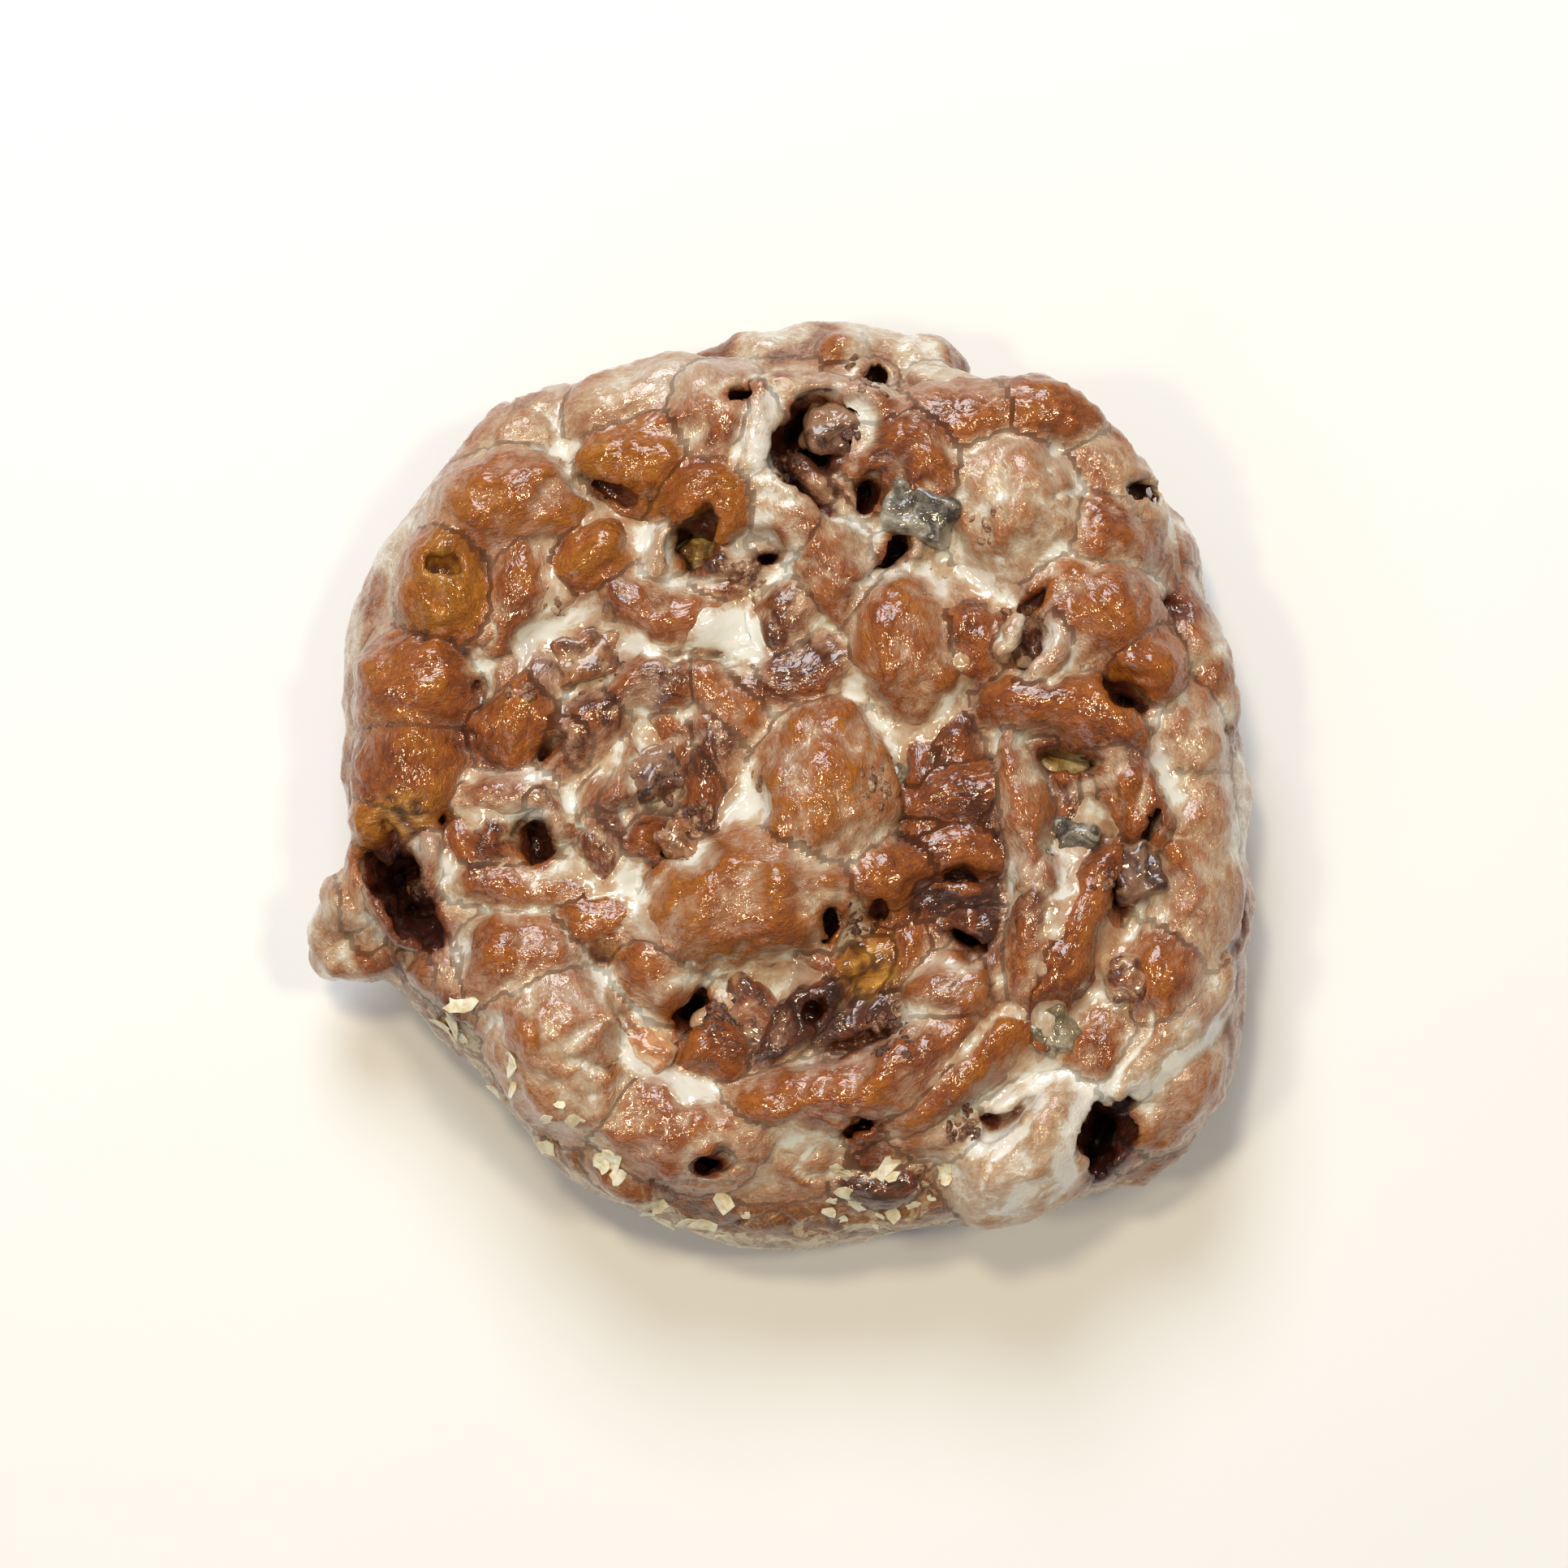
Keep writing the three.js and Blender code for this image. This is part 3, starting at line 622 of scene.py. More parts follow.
normals = normals_of(dough)
deep, brim = gap_values(unmoved)

# Creases lie under a skin that bridges them, and valleys under one that spans further.
BRIDGE_ROUNDS = 12
SPAN_ROUNDS = 33
bridged = relaxed(dough, points, BRIDGE_ROUNDS)
crease = np.sum((bridged - points) * normals, axis=1) / MM
spanned = relaxed(dough, bridged, SPAN_ROUNDS)
valley = np.sum((spanned - points) * normals, axis=1) / MM
# How much of each point's sky the dough near it hides; below, this paints shade into the colour.
occlusion_shade_mask = relaxed(dough, shelter(dough, points, normals)[:, None], 2)[:, 0]
# Painted shade: the tone is darkened where the dough near a point hides its sky.
tone = tone - 0.8 * step(0.22, 0.7, occlusion_shade_mask)
# Painted shade and light: the tone is darker in valleys and cracks and paler on crests.
tone = tone - 0.4 * step(0.1, 1.2, valley) + 0.15 * step(0.1, 1.1, -valley) - 0.2 * crack

# Glaze is held in creases and at brims where there is glaze around, and runs off crests.
around = relaxed(dough, film[:, None], 20)[:, 0]
held = step(0.14, 0.36, around) * (1 - 0.8 * bare)
film = film + held * (0.1 * step(0, 1, valley) + 0.32 * step(0.15, 0.7, crease) + 0.35 * brim)
film = film - 0.12 * step(0.02, 0.3, -crease) - 0.08 * step(0.1, 1.0, -valley)
film = film + 0.26 * (step(-1.3, 1.1, valley) - 0.5) * (1 - bare)
# Painted shade: the most hidden places lose their glaze and are given the dark colour of the gaps.
film = film - 0.55 * step(0.45, 0.8, occlusion_shade_mask)
deep = np.maximum(deep, 8 * step(0.52, 0.9, occlusion_shade_mask))

# The side is dry below the rim: ochre at the near left, with glaze runs on the right.
heights = points[:, 2] / MM
around_body = np.arctan2(points[:, 1], points[:, 0])
edges = [reach(math.radians(degree)) for degree in range(361)]
edge = np.interp(np.degrees(around_body) % 360, np.arange(361), edges)
share_out = np.hypot(points[:, 0], points[:, 1]) / edge
outer = step(0.8, 0.93, share_out)
NEAR_LEFT = math.radians(-115)
facing_near = step(-0.2, 0.7, np.cos(around_body - NEAR_LEFT))
topside_rim = step(28, 34, heights)
WAIST_HEIGHT = 15
waist = WAIST_HEIGHT + 2 * waves(points, 16, 3.3)
pale_waist = np.exp(-((heights - waist) / 2.2) ** 2)
tone = tone - 0.5 * outer * (1 - step(3, 13, heights)) + 0.5 * outer * pale_waist
dry = outer * (1 - step(22, 32, heights)) * facing_near * step(-59, -55, points[:, 0] / MM)
film = film * (1 - 0.8 * dry)
drips = step(-0.1, 0.35, waves(points * np.array([1, 1, 0.25]), 6, 2.3)) * step(8, 20, heights)
side_film = (0.3 + 0.5 * drips) * step(4, 16, heights)
film = np.where(outer > 0, film + (side_film - film) * outer * (1 - facing_near) * (1 - topside_rim), film)

# The rim has a veil of glaze all round but at the near left, and the knob is blotchy.
veil = step(0.86, 0.95, share_out) * (1 - facing_near) * topside_rim * (1 - bare)
film = film + (np.maximum(film, 0.62) - film) * veil
knob = step(58, 62, -points[:, 0] / MM) * step(10, 14, -points[:, 1] / MM)
film = film + (0.6 + 0.7 * waves(points, 3, 6.6) - film) * knob

# Little glaze gets into the gaps. Unglazed creases, and some picked by noise, get painted shade lines;
# picked ones lose glaze.
film = film * (1 - 0.9 * step(1.5, 5, deep))
film = film + 0.16 * waves(points, 12, 8.8) * (1 - bare)
crease_shade_pick = step(0, 0.3, waves(points, 7, 4.1))
film = film - 0.35 * crease_shade_pick * step(0.3, 0.8, crease)
crease_shade = step(0.15, 0.7, crease) * (1 - held) + 0.8 * crease_shade_pick * step(0.3, 0.9, crease)

# Torn places show the crumb: golden walls round small pits, whose dark middles are painted shade. x, y, size
# of each.
TORN = [(-48.5, 30.5, 3.2), (-54.5, -4.5, 4), (-25.5, -24, 2.4), (12, -26.5, 4.6)]
crumb = np.zeros(len(points))
for x, y, size in TORN:
    off = np.hypot(points[:, 0] / MM - x, points[:, 1] / MM - y) / size
    crumb = np.maximum(crumb, (1 - step(0.6, 1.2, off)) * step(25, 29, heights))
film = film * (1 - crumb)
# The crease attribute holds the painted crease shade, and deep drives the painted shade in the gaps.
write_values(dough, tone=tone, film=film, deep=deep, crease=crease_shade, dry=dry, crumb=crumb)
write_run(dough, run)


# ---- The look of fried dough under a film of sugar glaze ----
def shade(red, green, blue):
    """A colour as it looks on screen, from 0 to 255, as the light values that a shader takes."""
    def light(part):
        part /= 255
        return part / 12.92 if part <= 0.04045 else ((part + 0.055) / 1.055) ** 2.4
    return (light(red), light(green), light(blue), 1)


class Look:
    """One material's nodes, with a short call for each kind that the fritter's looks use."""

    def __init__(self, name, **sockets):
        self.material = bpy.data.materials.new(name)
        self.material.use_nodes = True
        self.tree = self.material.node_tree
        self.skin = self.tree.nodes["Principled BSDF"]
        for socket, value in sockets.items():
            self.skin.inputs[socket.replace("_", " ")].default_value = value
        self.place = self.add("ShaderNodeTexCoord").outputs["Object"]

    def add(self, kind, **facts):
        node = self.tree.nodes.new(kind)
        for fact, value in facts.items():
            setattr(node, fact, value)
        return node

    def feed(self, socket, value):
        if isinstance(value, bpy.types.NodeSocket):
            self.tree.links.new(value, socket)
        else:
            socket.default_value = value

    def attribute(self, name, output="Fac"):
        return self.add("ShaderNodeAttribute", attribute_name=name).outputs[output]

    def noise(self, size, detail=2.0, rough=0.5, bend=0.0, place=None):
        node = self.add("ShaderNodeTexNoise")
        self.feed(node.inputs["Vector"], place or self.place)
        self.feed(node.inputs["Scale"], 1 / (size * MM))
        self.feed(node.inputs["Detail"], detail)
        self.feed(node.inputs["Roughness"], rough)
        self.feed(node.inputs["Distortion"], bend)
        return node.outputs["Fac"]

    def cells(self, size):
        node = self.add("ShaderNodeTexVoronoi")
        self.feed(node.inputs["Vector"], self.place)
        self.feed(node.inputs["Scale"], 1 / (size * MM))
        return node.outputs["Distance"]

    def sum(self, kind, *values):
        node = self.add("ShaderNodeMath", operation=kind)
        for socket, value in zip(node.inputs, values):
            self.feed(socket, value)
        return node.outputs[0]

    def span(self, value, low, high, to_low=0.0, to_high=1.0):
        node = self.add("ShaderNodeMapRange", interpolation_type="SMOOTHSTEP")
        for socket, fed in zip(node.inputs, (value, low, high, to_low, to_high)):
            self.feed(socket, fed)
        return node.outputs[0]

    def ramp(self, value, *stops):
        node = self.add("ShaderNodeValToRGB")
        self.feed(node.inputs[0], value)
        marks = node.color_ramp.elements
        while len(marks) < len(stops):
            marks.new(0.5)
        for mark, (position, colour) in zip(marks, stops):
            mark.position = position
            mark.color = colour
        return node.outputs[0]

    def mix(self, share, one, other):
        node = self.add("ShaderNodeMix", data_type="RGBA")
        self.feed(node.inputs[0], share)
        self.feed(node.inputs[6], one)
        self.feed(node.inputs[7], other)
        return node.outputs[2]

    def paint(self, **fed):
        for socket, value in fed.items():
            self.feed(self.skin.inputs[socket.replace("_", " ")], value)

    def bump(self, height, depth):
        node = self.add("ShaderNodeBump")
        self.feed(node.inputs["Height"], height)
        self.feed(node.inputs["Distance"], depth * MM)
        return node.outputs[0]

    def coat_bump(self, size, depth):
        return self.bump(self.noise(size, detail=1, rough=0.4, bend=0.5), depth)

    def lines(self, size, detail, rough, bend, place):
        """0 on fine winding lines, and more away from them."""
        wavy = self.noise(size, detail, rough, bend, place)
        return self.sum("ABSOLUTE", self.sum("SUBTRACT", wavy, 0.5))


GAP_SHADE_DEPTH = 14  # this far down a gap, the ramp of painted shade ends


# The colour of the fried crust: mottled brown to golden, with painted shade in creases, wrinkles, crumb pits
# and gaps.
def crust_colour(look):
    patches = look.noise(7, detail=3)
    run = look.attribute("run", "Vector")
    mottle = look.noise(1.6, detail=4, rough=0.65, bend=1.2, place=run)
    tone = look.sum("MULTIPLY_ADD", look.attribute("tone"), 0.4, 0.5)
    tone = look.sum("ADD", tone, look.span(patches, 0.3, 0.7, -0.16, 0.16))
    tone = look.sum("ADD", tone, look.span(mottle, 0.3, 0.7, -0.13, 0.13))
    crust = look.ramp(
        tone,
        (0.02, shade(36, 13, 4)), (0.25, shade(86, 37, 10)), (0.45, shade(142, 72, 19)),
        (0.65, shade(166, 91, 20)), (0.92, shade(174, 107, 6)),
    )
    speck = look.span(look.noise(1.1, detail=2), 0.62, 0.76)
    crust = look.mix(look.sum("MULTIPLY", speck, 0.35), crust, shade(96, 44, 20))
    # Painted shade: a dark line along the creases that the crease attribute marks.
    crust = look.mix(look.sum("MULTIPLY", look.attribute("crease"), 0.9), crust, shade(72, 28, 8))
    # The crumb: golden walls, and painted shade in the middle of each small pit.
    crumb_and_pit_shade = look.ramp(
        look.cells(2), (0.15, shade(96, 54, 14)), (0.4, shade(150, 94, 26)), (0.7, shade(194, 138, 50)),
    )
    crust = look.mix(look.attribute("crumb"), crust, crumb_and_pit_shade)
    ochre = look.ramp(
        look.noise(4.5, detail=5, rough=0.62, bend=0.8),
        (0.34, shade(84, 52, 26)), (0.45, shade(136, 86, 32)), (0.525, shade(160, 112, 56)),
        (0.555, shade(206, 188, 152)),
    )
    crust = look.mix(look.attribute("dry"), crust, ochre)
    # Painted shade: dark brown along winding wrinkle lines.
    wrinkle_shade_lines = look.lines(2, 4, 0.6, 1.6, run)
    crust = look.mix(look.span(wrinkle_shade_lines, 0.0, 0.05, 0.4, 0.0), crust, shade(84, 36, 12))
    # Painted shade: the colour darkens the deeper a place lies in a gap.
    deep = look.attribute("deep")
    depth = look.sum("DIVIDE", deep, GAP_SHADE_DEPTH)
    gap_shade = look.ramp(depth, (0.1, shade(112, 50, 18)), (0.5, shade(66, 22, 9)))
    return look.mix(look.span(deep, 0.5, 4.5), crust, gap_shade)


# The glaze over it: clear where it is thin, pink with the crust under it, then milky.
def glazed_colour(look, crust, film):
    blots = look.noise(4.5, detail=2, rough=0.45, bend=0.8)
    run = look.attribute("run", "Vector")
    streaks = look.noise(1.5, detail=3, rough=0.55, bend=1.5, place=run)
    uneven = look.sum(
        "ADD", look.span(blots, 0.3, 0.7, -0.1, 0.1), look.span(streaks, 0.3, 0.7, -0.08, 0.08),
    )
    threads = look.span(look.lines(2.8, 4, 0.55, 1.6, run), 0.0, 0.03, 0.14, 0.0)
    film = look.sum("MULTIPLY_ADD", look.sum("ADD", uneven, threads), look.span(film, 0.02, 0.3), film)
    milk = look.ramp(
        film,
        (0.1, shade(166, 106, 70)), (0.35, shade(176, 128, 98)), (0.6, shade(184, 150, 120)),
        (0.8, shade(200, 180, 156)), (1.0, shade(230, 228, 222)),
    )
    milk = look.mix(look.span(look.noise(11), 0.5, 0.68, 0.0, 0.3), milk, shade(170, 146, 142))
    cover = look.span(film, 0.06, 0.7, 0.0, 0.96)
    return look.mix(cover, crust, milk), film


crust_look = Look(
    "glazed_crust", Roughness=0.42, Specular_IOR_Level=0.3, Coat_Weight=1.0, Coat_Roughness=0.05,
    Coat_IOR=1.55, Subsurface_Weight=0.12, Subsurface_Scale=0.0012,
)
crust = crust_colour(crust_look)
colour, film_cover = glazed_colour(crust_look, crust, crust_look.attribute("film"))
run_place = crust_look.attribute("run", "Vector")
crinkle = crust_look.lines(1.4, 4, 0.62, 1.5, run_place)
crinkle = crust_look.sum("MULTIPLY", crinkle, crust_look.span(film_cover, 0.1, 0.9, 1.0, 0.35))
ripple = crust_look.noise(1.1, detail=2, rough=0.5, bend=1.0, place=run_place)
ripple = crust_look.sum("MULTIPLY", ripple, crust_look.span(film_cover, 0.3, 0.9, 1.0, 0.5))
crust_look.paint(
    Base_Color=colour, Normal=crust_look.bump(crinkle, 0.9), Coat_Normal=crust_look.bump(ripple, 0.24),
)
dough.data.materials.clear()
dough.data.materials.append(crust_look.material)
dough.data.shade_smooth()
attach(dough, "root")
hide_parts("dough")


# ---------------------------------------------------------------------------------------------
# The glaze. Thin sugar icing is poured over the hot fritter: it runs off the crests, fills the
# creases and sets in pools. It is a skin of its own, from just inside the dough to its own level.
# ---------------------------------------------------------------------------------------------
# Where it lies thick. long, wide: the pool's size from above. full: how far it fills the creases.
POOLS = {
    "cream_pool": (-34.4, 22.2, 22, 15, 50, 1.3),
    "whitest": (-8, 21.4, 18, 9, -15, 2.8),
    "ridge_foot": (-20.5, 20.5, 14, 7, 0, 0.9),
    "shoulder_foot": (-26, 37, 20, 7, -25, 0.9),
    "well_web": (-40, -7, 18, 11, -60, 1.3),
    "honeycomb_foot": (-48, -9, 12, 8, -30, 0.9),
    "loaf_channel": (-21, -18, 24, 6, -60, 1.5),
    "shoulder_channel": (-27, -15, 16, 6, -35, 0.9),
    "crescent": (-17, -42.5, 18, 5, -28, 1.9),
    "rib_channel": (41, -11, 20, 6, 80, 1.4),
    "front_flat": (4, -52, 14, 8, -50, 1.0),
    "southeast_run": (57, -37, 26, 7, 45, 1.6),
    "far_drip": (19, 7, 18, 9, 10, 1.0),
    "dome_foot": (32, 29, 18, 11, 80, 0.95),
    "ring": (37.7, 18, 14, 8, 70, 1.4),
    "northeast_side": (56, 40, 26, 12, -60, 1.5),
    "northwest_side": (-50, 43, 24, 10, 45, 0.8),
    "west_side": (-60, 26, 28, 9, 80, 0.8),
    "tooth_left": (12, 21, 18, 5, 80, 0.9),
    "hook_gap": (33, 12, 12, 6, 20, 0.9),
    "east_pool": (57, 4, 20, 9, 90, 0.9),
    "hook_pool": (-19.5, 4.5, 11, 6, 25, 1.0),
    "small_ring": (-8, -2, 10, 9, 0, 0.9),
    "loaf_foot": (0, -29, 24, 7, 0, 0.8),
    "strand_channel": (27, -38, 26, 5, 38, 0.9),
    "lobe_streak": (37, -50, 20, 5, 45, 1.6),
    "ledge_run": (26, 58, 20, 8, -20, 1.0),
    "bits_bed": (21, 28, 14, 9, 0, 0.8),
    "lobe_foot": (4, 25, 14, 7, 10, 0.7),
    "rib_line": (47, -20, 22, 4.5, 75, 0.9),
    "post_foot": (-4.4, 48.5, 14, 6, 80, 0.9),
    "east_run": (62, -2, 22, 8, 80, 0.7),
    "rib_channel_low": (37.7, -21.5, 16, 4, 80, 1.0),
    "rib_channel_foot": (35.5, -30.5, 12, 5, 60, 1.2),
    "square_bed": (47.5, -28.5, 13, 8, 80, 1.1),
    "diamond_bed": (37, -36, 13, 10, 40, 1.1),
    "east_line": (53.3, -22, 24, 3.6, 86, 1.1),
    "hook_right_foot": (47, -3.5, 12, 5, -60, 1.0),
    "tooth_right": (24, 14, 12, 4, 60, 1.0),
    "dome_left": (-6.5, -6, 14, 4.5, 80, 1.0),
}
GLAZE_SKIN = 0.5  # how thick the skin is, most of it inside the dough

bm = bmesh.new()
bm.from_mesh(dough.data)
glaze = add_object("sugar_glaze", bm)

pooled = np.zeros(len(points))
heaped = np.zeros(len(points))
for x, y, long, wide, turn, full in POOLS.values():
    along, across = along_across(points[:, 0] / MM - x, points[:, 1] / MM - y, turn)
    inside = 1 - step(0.4, 1.3, np.hypot(along / (long / 2), across / (wide / 2)))
    pooled = np.maximum(pooled, min(full, 1) * inside)
    heaped = np.maximum(heaped, max(full - 1, 0) * inside ** 2)
pooled = np.clip(pooled + 0.2 * waves(points, 5, 1.9), 0, 1)
hang = 1 + 1.6 * waves(points, 4, 5.9)
open_air = step(4, 16, heights) * (1 - step(-0.5, 0.7, deep - hang)) * (1 - crumb)
filled = np.clip(0.45 * held + pooled, 0, 1) * open_air
pooled = pooled * open_air
level = points + (bridged - points) * filled[:, None] + (spanned - bridged) * pooled[:, None]
thick = np.sum((level - points) * normals, axis=1) / MM - 0.2
thick = thick + 0.3 * (pooled - 0.5) * step(0.5, 0.9, pooled) + 0.5 * heaped * open_air
thick = relaxed(glaze, thick[:, None], 3)[:, 0]
level = points + normals * thick[:, None] * MM
move_points(glaze, level)

# The film on the dough fades out from the pools.
wet = relaxed(glaze, step(-0.35, 0.25, thick)[:, None], 10)[:, 0]
film = film + 0.15 * wet * (1 - 0.9 * step(1.5, 5, deep))
milky = np.maximum(film, 0.55) + 0.3 * step(0, 0.8, thick) + 0.2 * heaped
write_values(dough, film=film)
write_values(glaze, film=milky, crease=np.zeros(len(points)), crumb=np.zeros(len(points)))

bm = bmesh.new()
bm.from_mesh(glaze.data)
bm.verts.ensure_lookup_table()
uncovered = [face for face in bm.faces if max(thick[vert.index] for vert in face.verts) < 0]
bmesh.ops.delete(bm, geom=uncovered, context="FACES")
bm.to_mesh(glaze.data)
bm.free()
skin = glaze.modifiers.new("skin", "SOLIDIFY")
skin.thickness = GLAZE_SKIN * MM
skin.offset = -1
settle(glaze)

glaze_look = Look(
    "sugar_glaze", Roughness=0.4, Specular_IOR_Level=0.2, Coat_Weight=1.0, Coat_Roughness=0.04,
    Coat_IOR=1.55, Subsurface_Weight=0.2, Subsurface_Scale=0.0015,
)
crust = crust_colour(glaze_look)
colour, _ = glazed_colour(glaze_look, crust, glaze_look.attribute("film"))
ripples = glaze_look.coat_bump(2.6, 0.2)
glaze_look.paint(Base_Color=colour, Normal=ripples, Coat_Normal=ripples)
glaze.data.materials.clear()
glaze.data.materials.append(glaze_look.material)
glaze.data.shade_smooth()
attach(glaze, "root")


# ---------------------------------------------------------------------------------------------
# The apple. Peeled apple is cut into dice and cooked soft with cinnamon, so their edges slump and
# their faces wrinkle. They sit in the dough where the frame has them.
# ---------------------------------------------------------------------------------------------
# How each kind of dice is coloured: the flesh, its darker stain, and the glaze on it.
BROWN = (shade(92, 46, 22), shade(52, 24, 13), shade(150, 112, 86))
CRUSTED = (shade(146, 88, 44), shade(88, 44, 20), shade(186, 150, 116))
GREY = (shade(132, 114, 84), shade(90, 72, 50), shade(184, 174, 152))
AMBER = (shade(138, 72, 30), shade(84, 38, 17), shade(196, 158, 124))
SLATE = (shade(104, 96, 84), shade(44, 34, 28), shade(178, 172, 158))
YELLOW = (shade(168, 128, 36), shade(110, 72, 22), shade(206, 188, 140))
PEACH = (shade(206, 150, 100), shade(170, 104, 56), shade(226, 208, 180))
# Each dice's colours, and the side that is paler than the rest, in degrees from +X, where it has one.
DICE = {
    "far_cave_apple": (BROWN, 100), "grey_apple": (SLATE, None), "hook_apple": (BROWN, 125),
    "diamond_apple": (GREY, None), "square_apple": (AMBER, None), "right_apple": (BROWN, None),
    "blue_apple": (SLATE, None), "crusted_apple": (CRUSTED, None), "west_apple": (CRUSTED, None),
    "yellow_apple": (YELLOW, None), "pocket_apple": (PEACH, None), "dark_apple": (AMBER, None),
    "valley_apple": (GREY, None), "slit_apple": (YELLOW, None),
}


def apple_look(name, flesh, stain, milk):
    look = Look(
        name, Roughness=0.35, Coat_Weight=1.0, Coat_Roughness=0.07, Subsurface_Weight=0.25,
        Subsurface_Scale=0.0015,
    )
    fibres = look.noise(1.0, detail=4, rough=0.6, bend=1.2)
    colour = look.mix(look.span(look.noise(2.2, detail=3), 0.35, 0.65), flesh, stain)
    colour = look.mix(look.span(fibres, 0.56, 0.72, 0.0, 0.6), colour, milk)
    colour = look.mix(look.span(look.noise(3.2, detail=3, bend=1), 0.46, 0.64, 0.0, 0.75), colour, milk)
    colour = look.mix(look.span(look.attribute("base"), -1.6, 0.6), colour, milk)
    look.paint(Base_Color=colour, Normal=look.bump(fibres, 0.4), Coat_Normal=look.coat_bump(1.5, 0.2))
    return look.material


SOFT_ROUNDS = 15  # how much the dice have slumped
SWELL_SHARE = 1.16  # and swelled again, to fill their places
SUNK = 1.2  # how far a dice has sunk from its place
DEEPER = {"dark_apple": 2.2}
WRINKLES = [(3.5, 1.1), (1.7, 0.7)]  # how wide the faces' unevenness is, and how deep
apple_looks = {}
for name, (kind, pale_side) in DICE.items():
    if kind not in apple_looks:
        apple_looks[kind] = apple_look(f"cooked_apple_{len(apple_looks) + 1}", *kind)
    bm = bmesh.new()
    bm.from_mesh(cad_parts[name].data)
    bmesh.ops.remove_doubles(bm, verts=bm.verts, dist=0.01 * MM)
    bmesh.ops.subdivide_edges(bm, edges=bm.edges, cuts=5, use_grid_fill=True)
    for _ in range(SOFT_ROUNDS):
        bmesh.ops.smooth_vert(
            bm, verts=bm.verts, factor=0.5, use_axis_x=True, use_axis_y=True, use_axis_z=True,
        )
    bm.normal_update()
    middle = sum((vert.co for vert in bm.verts), Vector()) / len(bm.verts)
    base = []
    drop = Vector((0, 0, DEEPER.get(name, SUNK) * MM))
    for vert in bm.verts:
        place = vert.co / MM
        sink = sum(depth * noise.noise(place / size) for size, depth in WRINKLES)
        vert.co = middle + (vert.co - middle) * SWELL_SHARE - vert.normal * sink * MM - drop
        milk_line = (middle.z - vert.co.z) / MM + 1.2 * noise.noise(place / 1.8)
        if pale_side is not None:
            towards = Vector((math.cos(math.radians(pale_side)), math.sin(math.radians(pale_side)), 0))
            milk_line = max(milk_line, (vert.co - middle).dot(towards) / MM * 2.5 - 3)
        base.append(milk_line)
    dice = add_object(name + "_dice", bm)
    write_values(dice, base=np.array(base))
    dice.data.materials.append(apple_looks[kind])
    dice.data.shade_smooth()
    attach(dice, "root")
    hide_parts(name)


# ---------------------------------------------------------------------------------------------
# The cinnamon grains. The apple's cinnamon syrup cooks down to dark grains, which stick in clumps
# in the creases and on the apple.
# ---------------------------------------------------------------------------------------------
# x, y: a clump's middle. reach: how far its grains lie from it. grains: how many. pale: how much
# glaze is on them, from 0 to 1.
CLUMPS = [
    (-27, 17.5, 4, 34, 0.3), (-32, 24.5, 2.6, 12, 0.7), (-18, -1.2, 3.2, 28, 0.1), (-12.5, -5, 4, 26, 0.4),
    (-5.5, 29.5, 4, 26, 0.5), (35.4, 24.3, 3, 18, 0.5), (10, -20, 3.4, 26, 0.4), (15, -35.8, 5, 34, 0.15),
    (-9, -33.5, 3.4, 24, 0.1), (26, -48.5, 3.6, 26, 0.3), (12, 58.5, 4, 24, 0.4), (9, 50.5, 3, 12, 0.1),
    (-53, -14, 3, 22, 0), (0.5, 47, 3.4, 18, 0), (13, -1, 4, 20, 0.5), (-5, -0.2, 2, 8, 0.4),
    (22, 28.5, 4, 16, 0.8), (-38, 13, 3, 12, 0.4), (46, -14, 2.6, 14, 0.2), (28, 36.5, 3, 8, 0.7),
    (50.5, 42, 2.6, 10, 0.4), (20, -57, 3, 10, 0.6),
]
dough_surface = BVHTree.FromObject(dough, bpy.context.evaluated_depsgraph_get())


def top_at(x, y):
    hit, normal, _, _ = dough_surface.ray_cast(Vector((x, y, 90)) * MM, Vector((0, 0, -1)))
    return hit, normal


grain_ball = make_ball(bmesh.ops.create_uvsphere, u_segments=7, v_segments=6)
bm = bmesh.new()
pale_values = []
draw = random.Random(5)
for x, y, reach_out, count, pale in CLUMPS:
    for _ in range(count):
        hit, normal = top_at(x + draw.gauss(0, reach_out / 2.6), y + draw.gauss(0, reach_out / 2.6))
        if hit is None:
            continue
        stretch = Vector((draw.uniform(0.8, 1.6), draw.uniform(0.7, 1.1), draw.uniform(0.5, 0.8)))
        size = draw.uniform(0.4, 0.9)
        shift = Vector([draw.uniform(0, 50)] * 3)
        facing = normal.to_track_quat("Z", "Y")

        def on_crust(point):
            lump = 1 + 0.5 * noise.noise(point / 0.8 + shift)
            return hit + (facing @ (point * stretch) * size * lump - normal * 0.2) * MM

        add_ball(bm, on_crust, grain_ball)
        glazed = min(max(pale + draw.uniform(-0.25, 0.25), 0), 1)
        pale_values += [glazed] * len(grain_ball.vertices)
grains = add_object("cinnamon_grains", bm)
write_values(grains, pale=np.array(pale_values))
grain_look = Look("cinnamon_grain", Roughness=0.5, Coat_Weight=1.0, Coat_Roughness=0.08)
grain_shade = grain_look.sum("ADD", grain_look.attribute("pale"), grain_look.span(
    grain_look.noise(0.7, detail=4, rough=0.7), 0.35, 0.65, -0.3, 0.3,
))
grain_rough = grain_look.bump(grain_look.noise(0.6, detail=3, rough=0.7), 0.5)
grain_colour = grain_look.ramp(
    grain_shade,
    (0.0, shade(60, 26, 11)), (0.3, shade(112, 60, 28)), (0.6, shade(150, 108, 76)),
    (1.0, shade(198, 176, 148)),
)
grain_look.paint(Base_Color=grain_colour, Normal=grain_rough, Coat_Normal=grain_rough)
grains.data.materials.append(grain_look.material)
grains.data.shade_smooth()
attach(grains, "root")


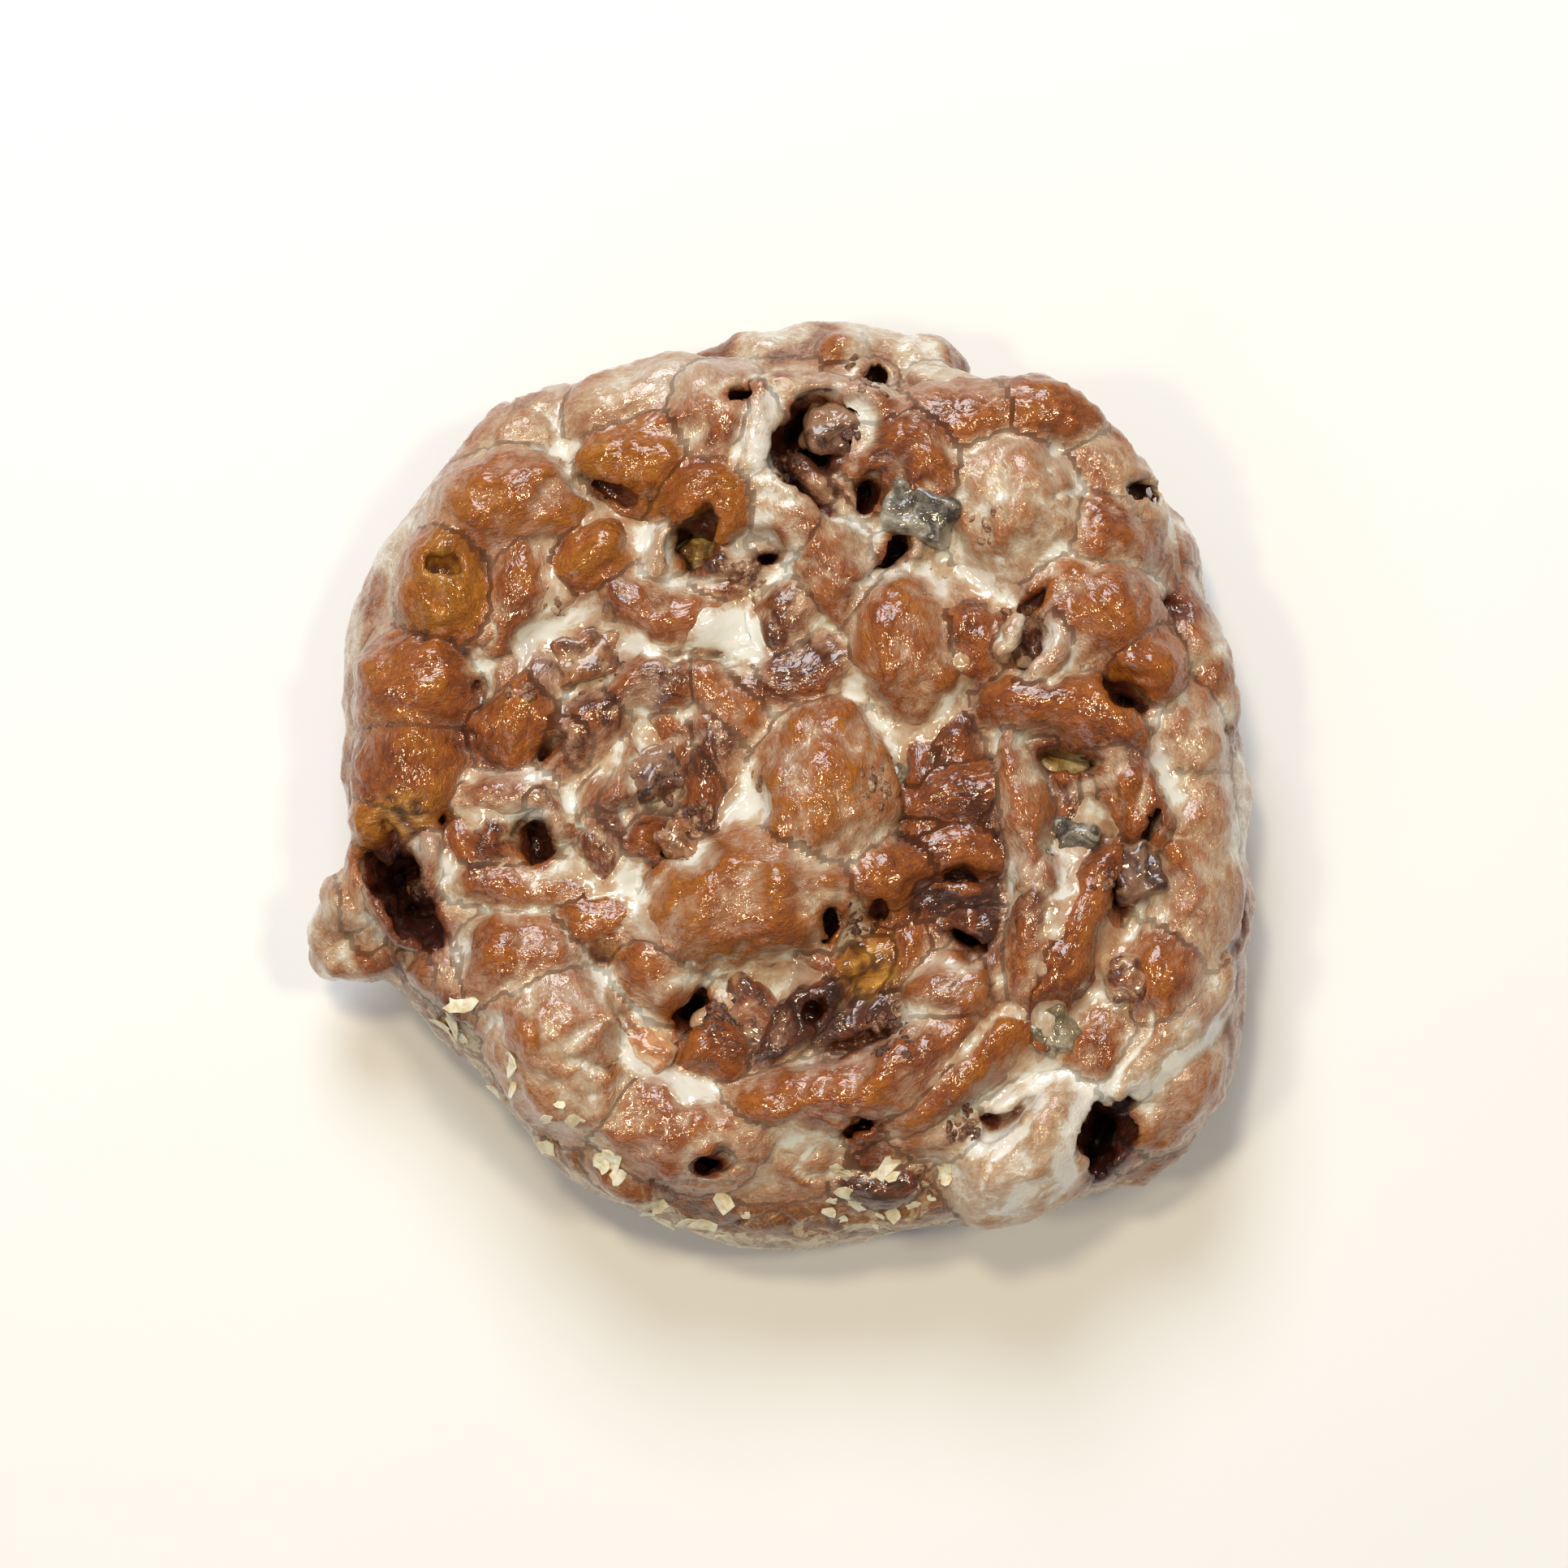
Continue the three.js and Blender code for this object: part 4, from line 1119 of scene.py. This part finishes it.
# ---------------------------------------------------------------------------------------------
# The flakes. Where the glaze is thin on the near side it dries, cracks and lifts off in flakes.
# ---------------------------------------------------------------------------------------------
# x, y: a group's middle. reach: how far its flakes lie from it. count, size: of the flakes.
FLAKE_GROUPS = [
    (10.5, -56, 3, 4, 2.8), (23, -56, 1, 2, 3.6), (18.5, -58.5, 3, 3, 1.7), (7, -60, 3.5, 5, 2.2),
    (14.5, -62, 4, 4, 1.8), (-8, -62, 4, 4, 2.6), (-17, -60, 4, 4, 3.2), (-25, -55, 4, 4, 2.6),
    (-33, -49, 4, 4, 2.4), (-40, -43, 3, 4, 3), (-47, -35, 3, 4, 3),
]
FLAKE_UNDERSIDE = 0.04
FLAKE_TOP = 0.18
bm = bmesh.new()
draw = random.Random(11)
for x, y, reach_out, count, size in FLAKE_GROUPS:
    for _ in range(count):
        hit, normal = top_at(x + draw.gauss(0, reach_out / 2), y + draw.gauss(0, reach_out / 2))
        if hit is None:
            continue
        half = size * draw.uniform(0.6, 1.4) / 2
        corners = draw.randint(8, 12)
        tipped = (normal + Vector((draw.uniform(-0.3, 0.3), draw.uniform(-0.3, 0.3), 0))).normalized()
        facing = tipped.to_track_quat("Z", "Y")
        curl = draw.uniform(0.05, 0.2)
        spin = draw.uniform(0, math.tau)
        rims = []
        for height in (FLAKE_UNDERSIDE, FLAKE_TOP):
            rim = []
            for k in range(corners):
                angle = spin + k * math.tau / corners
                out = half * (0.8 + 0.8 * noise.noise(Vector((k * 0.8, x, spin))))
                place = Vector((1.3 * out * math.cos(angle), out * math.sin(angle), 0))
                place.z = height + curl * place.x ** 2
                rim.append(bm.verts.new(hit + facing @ place * MM))
            rims.append(rim)
        low_rim, high_rim = rims
        bm.faces.new(list(reversed(low_rim)))
        bm.faces.new(high_rim)
        for k in range(corners):
            after = (k + 1) % corners
            bm.faces.new((low_rim[k], low_rim[after], high_rim[after], high_rim[k]))
flakes = add_object("glaze_flakes", bm)
flake_look = Look("dry_glaze", Roughness=0.55, Subsurface_Weight=0.2, Subsurface_Scale=0.001)
flake_look.paint(Base_Color=flake_look.ramp(
    flake_look.noise(1.5, detail=3), (0.35, shade(214, 194, 156)), (0.6, shade(240, 232, 214)),
))
flakes.data.materials.append(flake_look.material)
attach(flakes, "root")


# ---------------------------------------------------------------------------------------------
# The floor, the lights and the camera. The camera looks down on the fritter from a little in
# front of it, as in the photograph.
# ---------------------------------------------------------------------------------------------
FLOOR_RADIUS = 3  # metres, as all places in this section are down to the camera's
bm = bmesh.new()
bmesh.ops.create_circle(bm, cap_ends=True, segments=64, radius=FLOOR_RADIUS)
floor = add_object("floor", bm)
paper = Look("pale_floor", Roughness=0.9)
floor_mottle = paper.ramp(
    paper.noise(60), (0.0, (0.88, 0.91, 0.96, 1)), (1.0, (0.9, 0.93, 0.98, 1)),
)
paper.paint(Base_Color=floor_mottle)
floor.data.materials.append(paper.material)

world = bpy.data.worlds.new("studio")
world.use_nodes = True
room = world.node_tree.nodes["Background"]
room.inputs["Color"].default_value = (0.86, 0.93, 1, 1)
room.inputs["Strength"].default_value = 0.16
bpy.context.scene.world = world


def add_light(name, place, size, power, colour=(1, 1, 1)):
    data = bpy.data.lights.new(name, "AREA")
    data.shape = "DISK"
    data.size = size
    data.energy = power
    data.color = colour
    light = bpy.data.objects.new(name, data)
    light.location = place
    light.rotation_euler = (-Vector(place)).to_track_quat("-Z", "Y").to_euler()
    bpy.context.scene.collection.objects.link(light)


COOL = (0.88, 0.94, 1.0)
WARM = (1.0, 0.8, 0.5)
add_light("window", (-0.15, 0.8, 0.9), 0.6, 9, COOL)
add_light("front_fill", (-0.5, -0.8, 0.7), 0.6, 1.2)
add_light("lamp_far", (-0.12, 0.2, 0.9), 0.12, 2.4, WARM)
add_light("lamp_right", (0.32, 0.02, 0.85), 0.11, 1.7, WARM)
add_light("lamp_left", (-0.36, -0.1, 0.8), 0.1, 1.3, WARM)

CAMERA_DISTANCE = 600
CAMERA_TILT = 5  # degrees off straight down
LOOK_AT_HEIGHT = 30
FOCAL_PIXELS = 5160
PHOTO_WIDTH = 1932
SENSOR = 36
tilt = math.radians(CAMERA_TILT)
camera_data = bpy.data.cameras.new("camera")
camera_data.sensor_width = SENSOR
camera_data.lens = FOCAL_PIXELS * SENSOR / PHOTO_WIDTH
camera = bpy.data.objects.new("camera", camera_data)
camera.location = (
    0,
    -CAMERA_DISTANCE * math.sin(tilt) * MM,
    (LOOK_AT_HEIGHT + CAMERA_DISTANCE * math.cos(tilt)) * MM,
)
camera.rotation_euler = (tilt, 0, 0)
bpy.context.scene.collection.objects.link(camera)
bpy.context.scene.camera = camera
bpy.context.scene.view_settings.view_transform = "Standard"
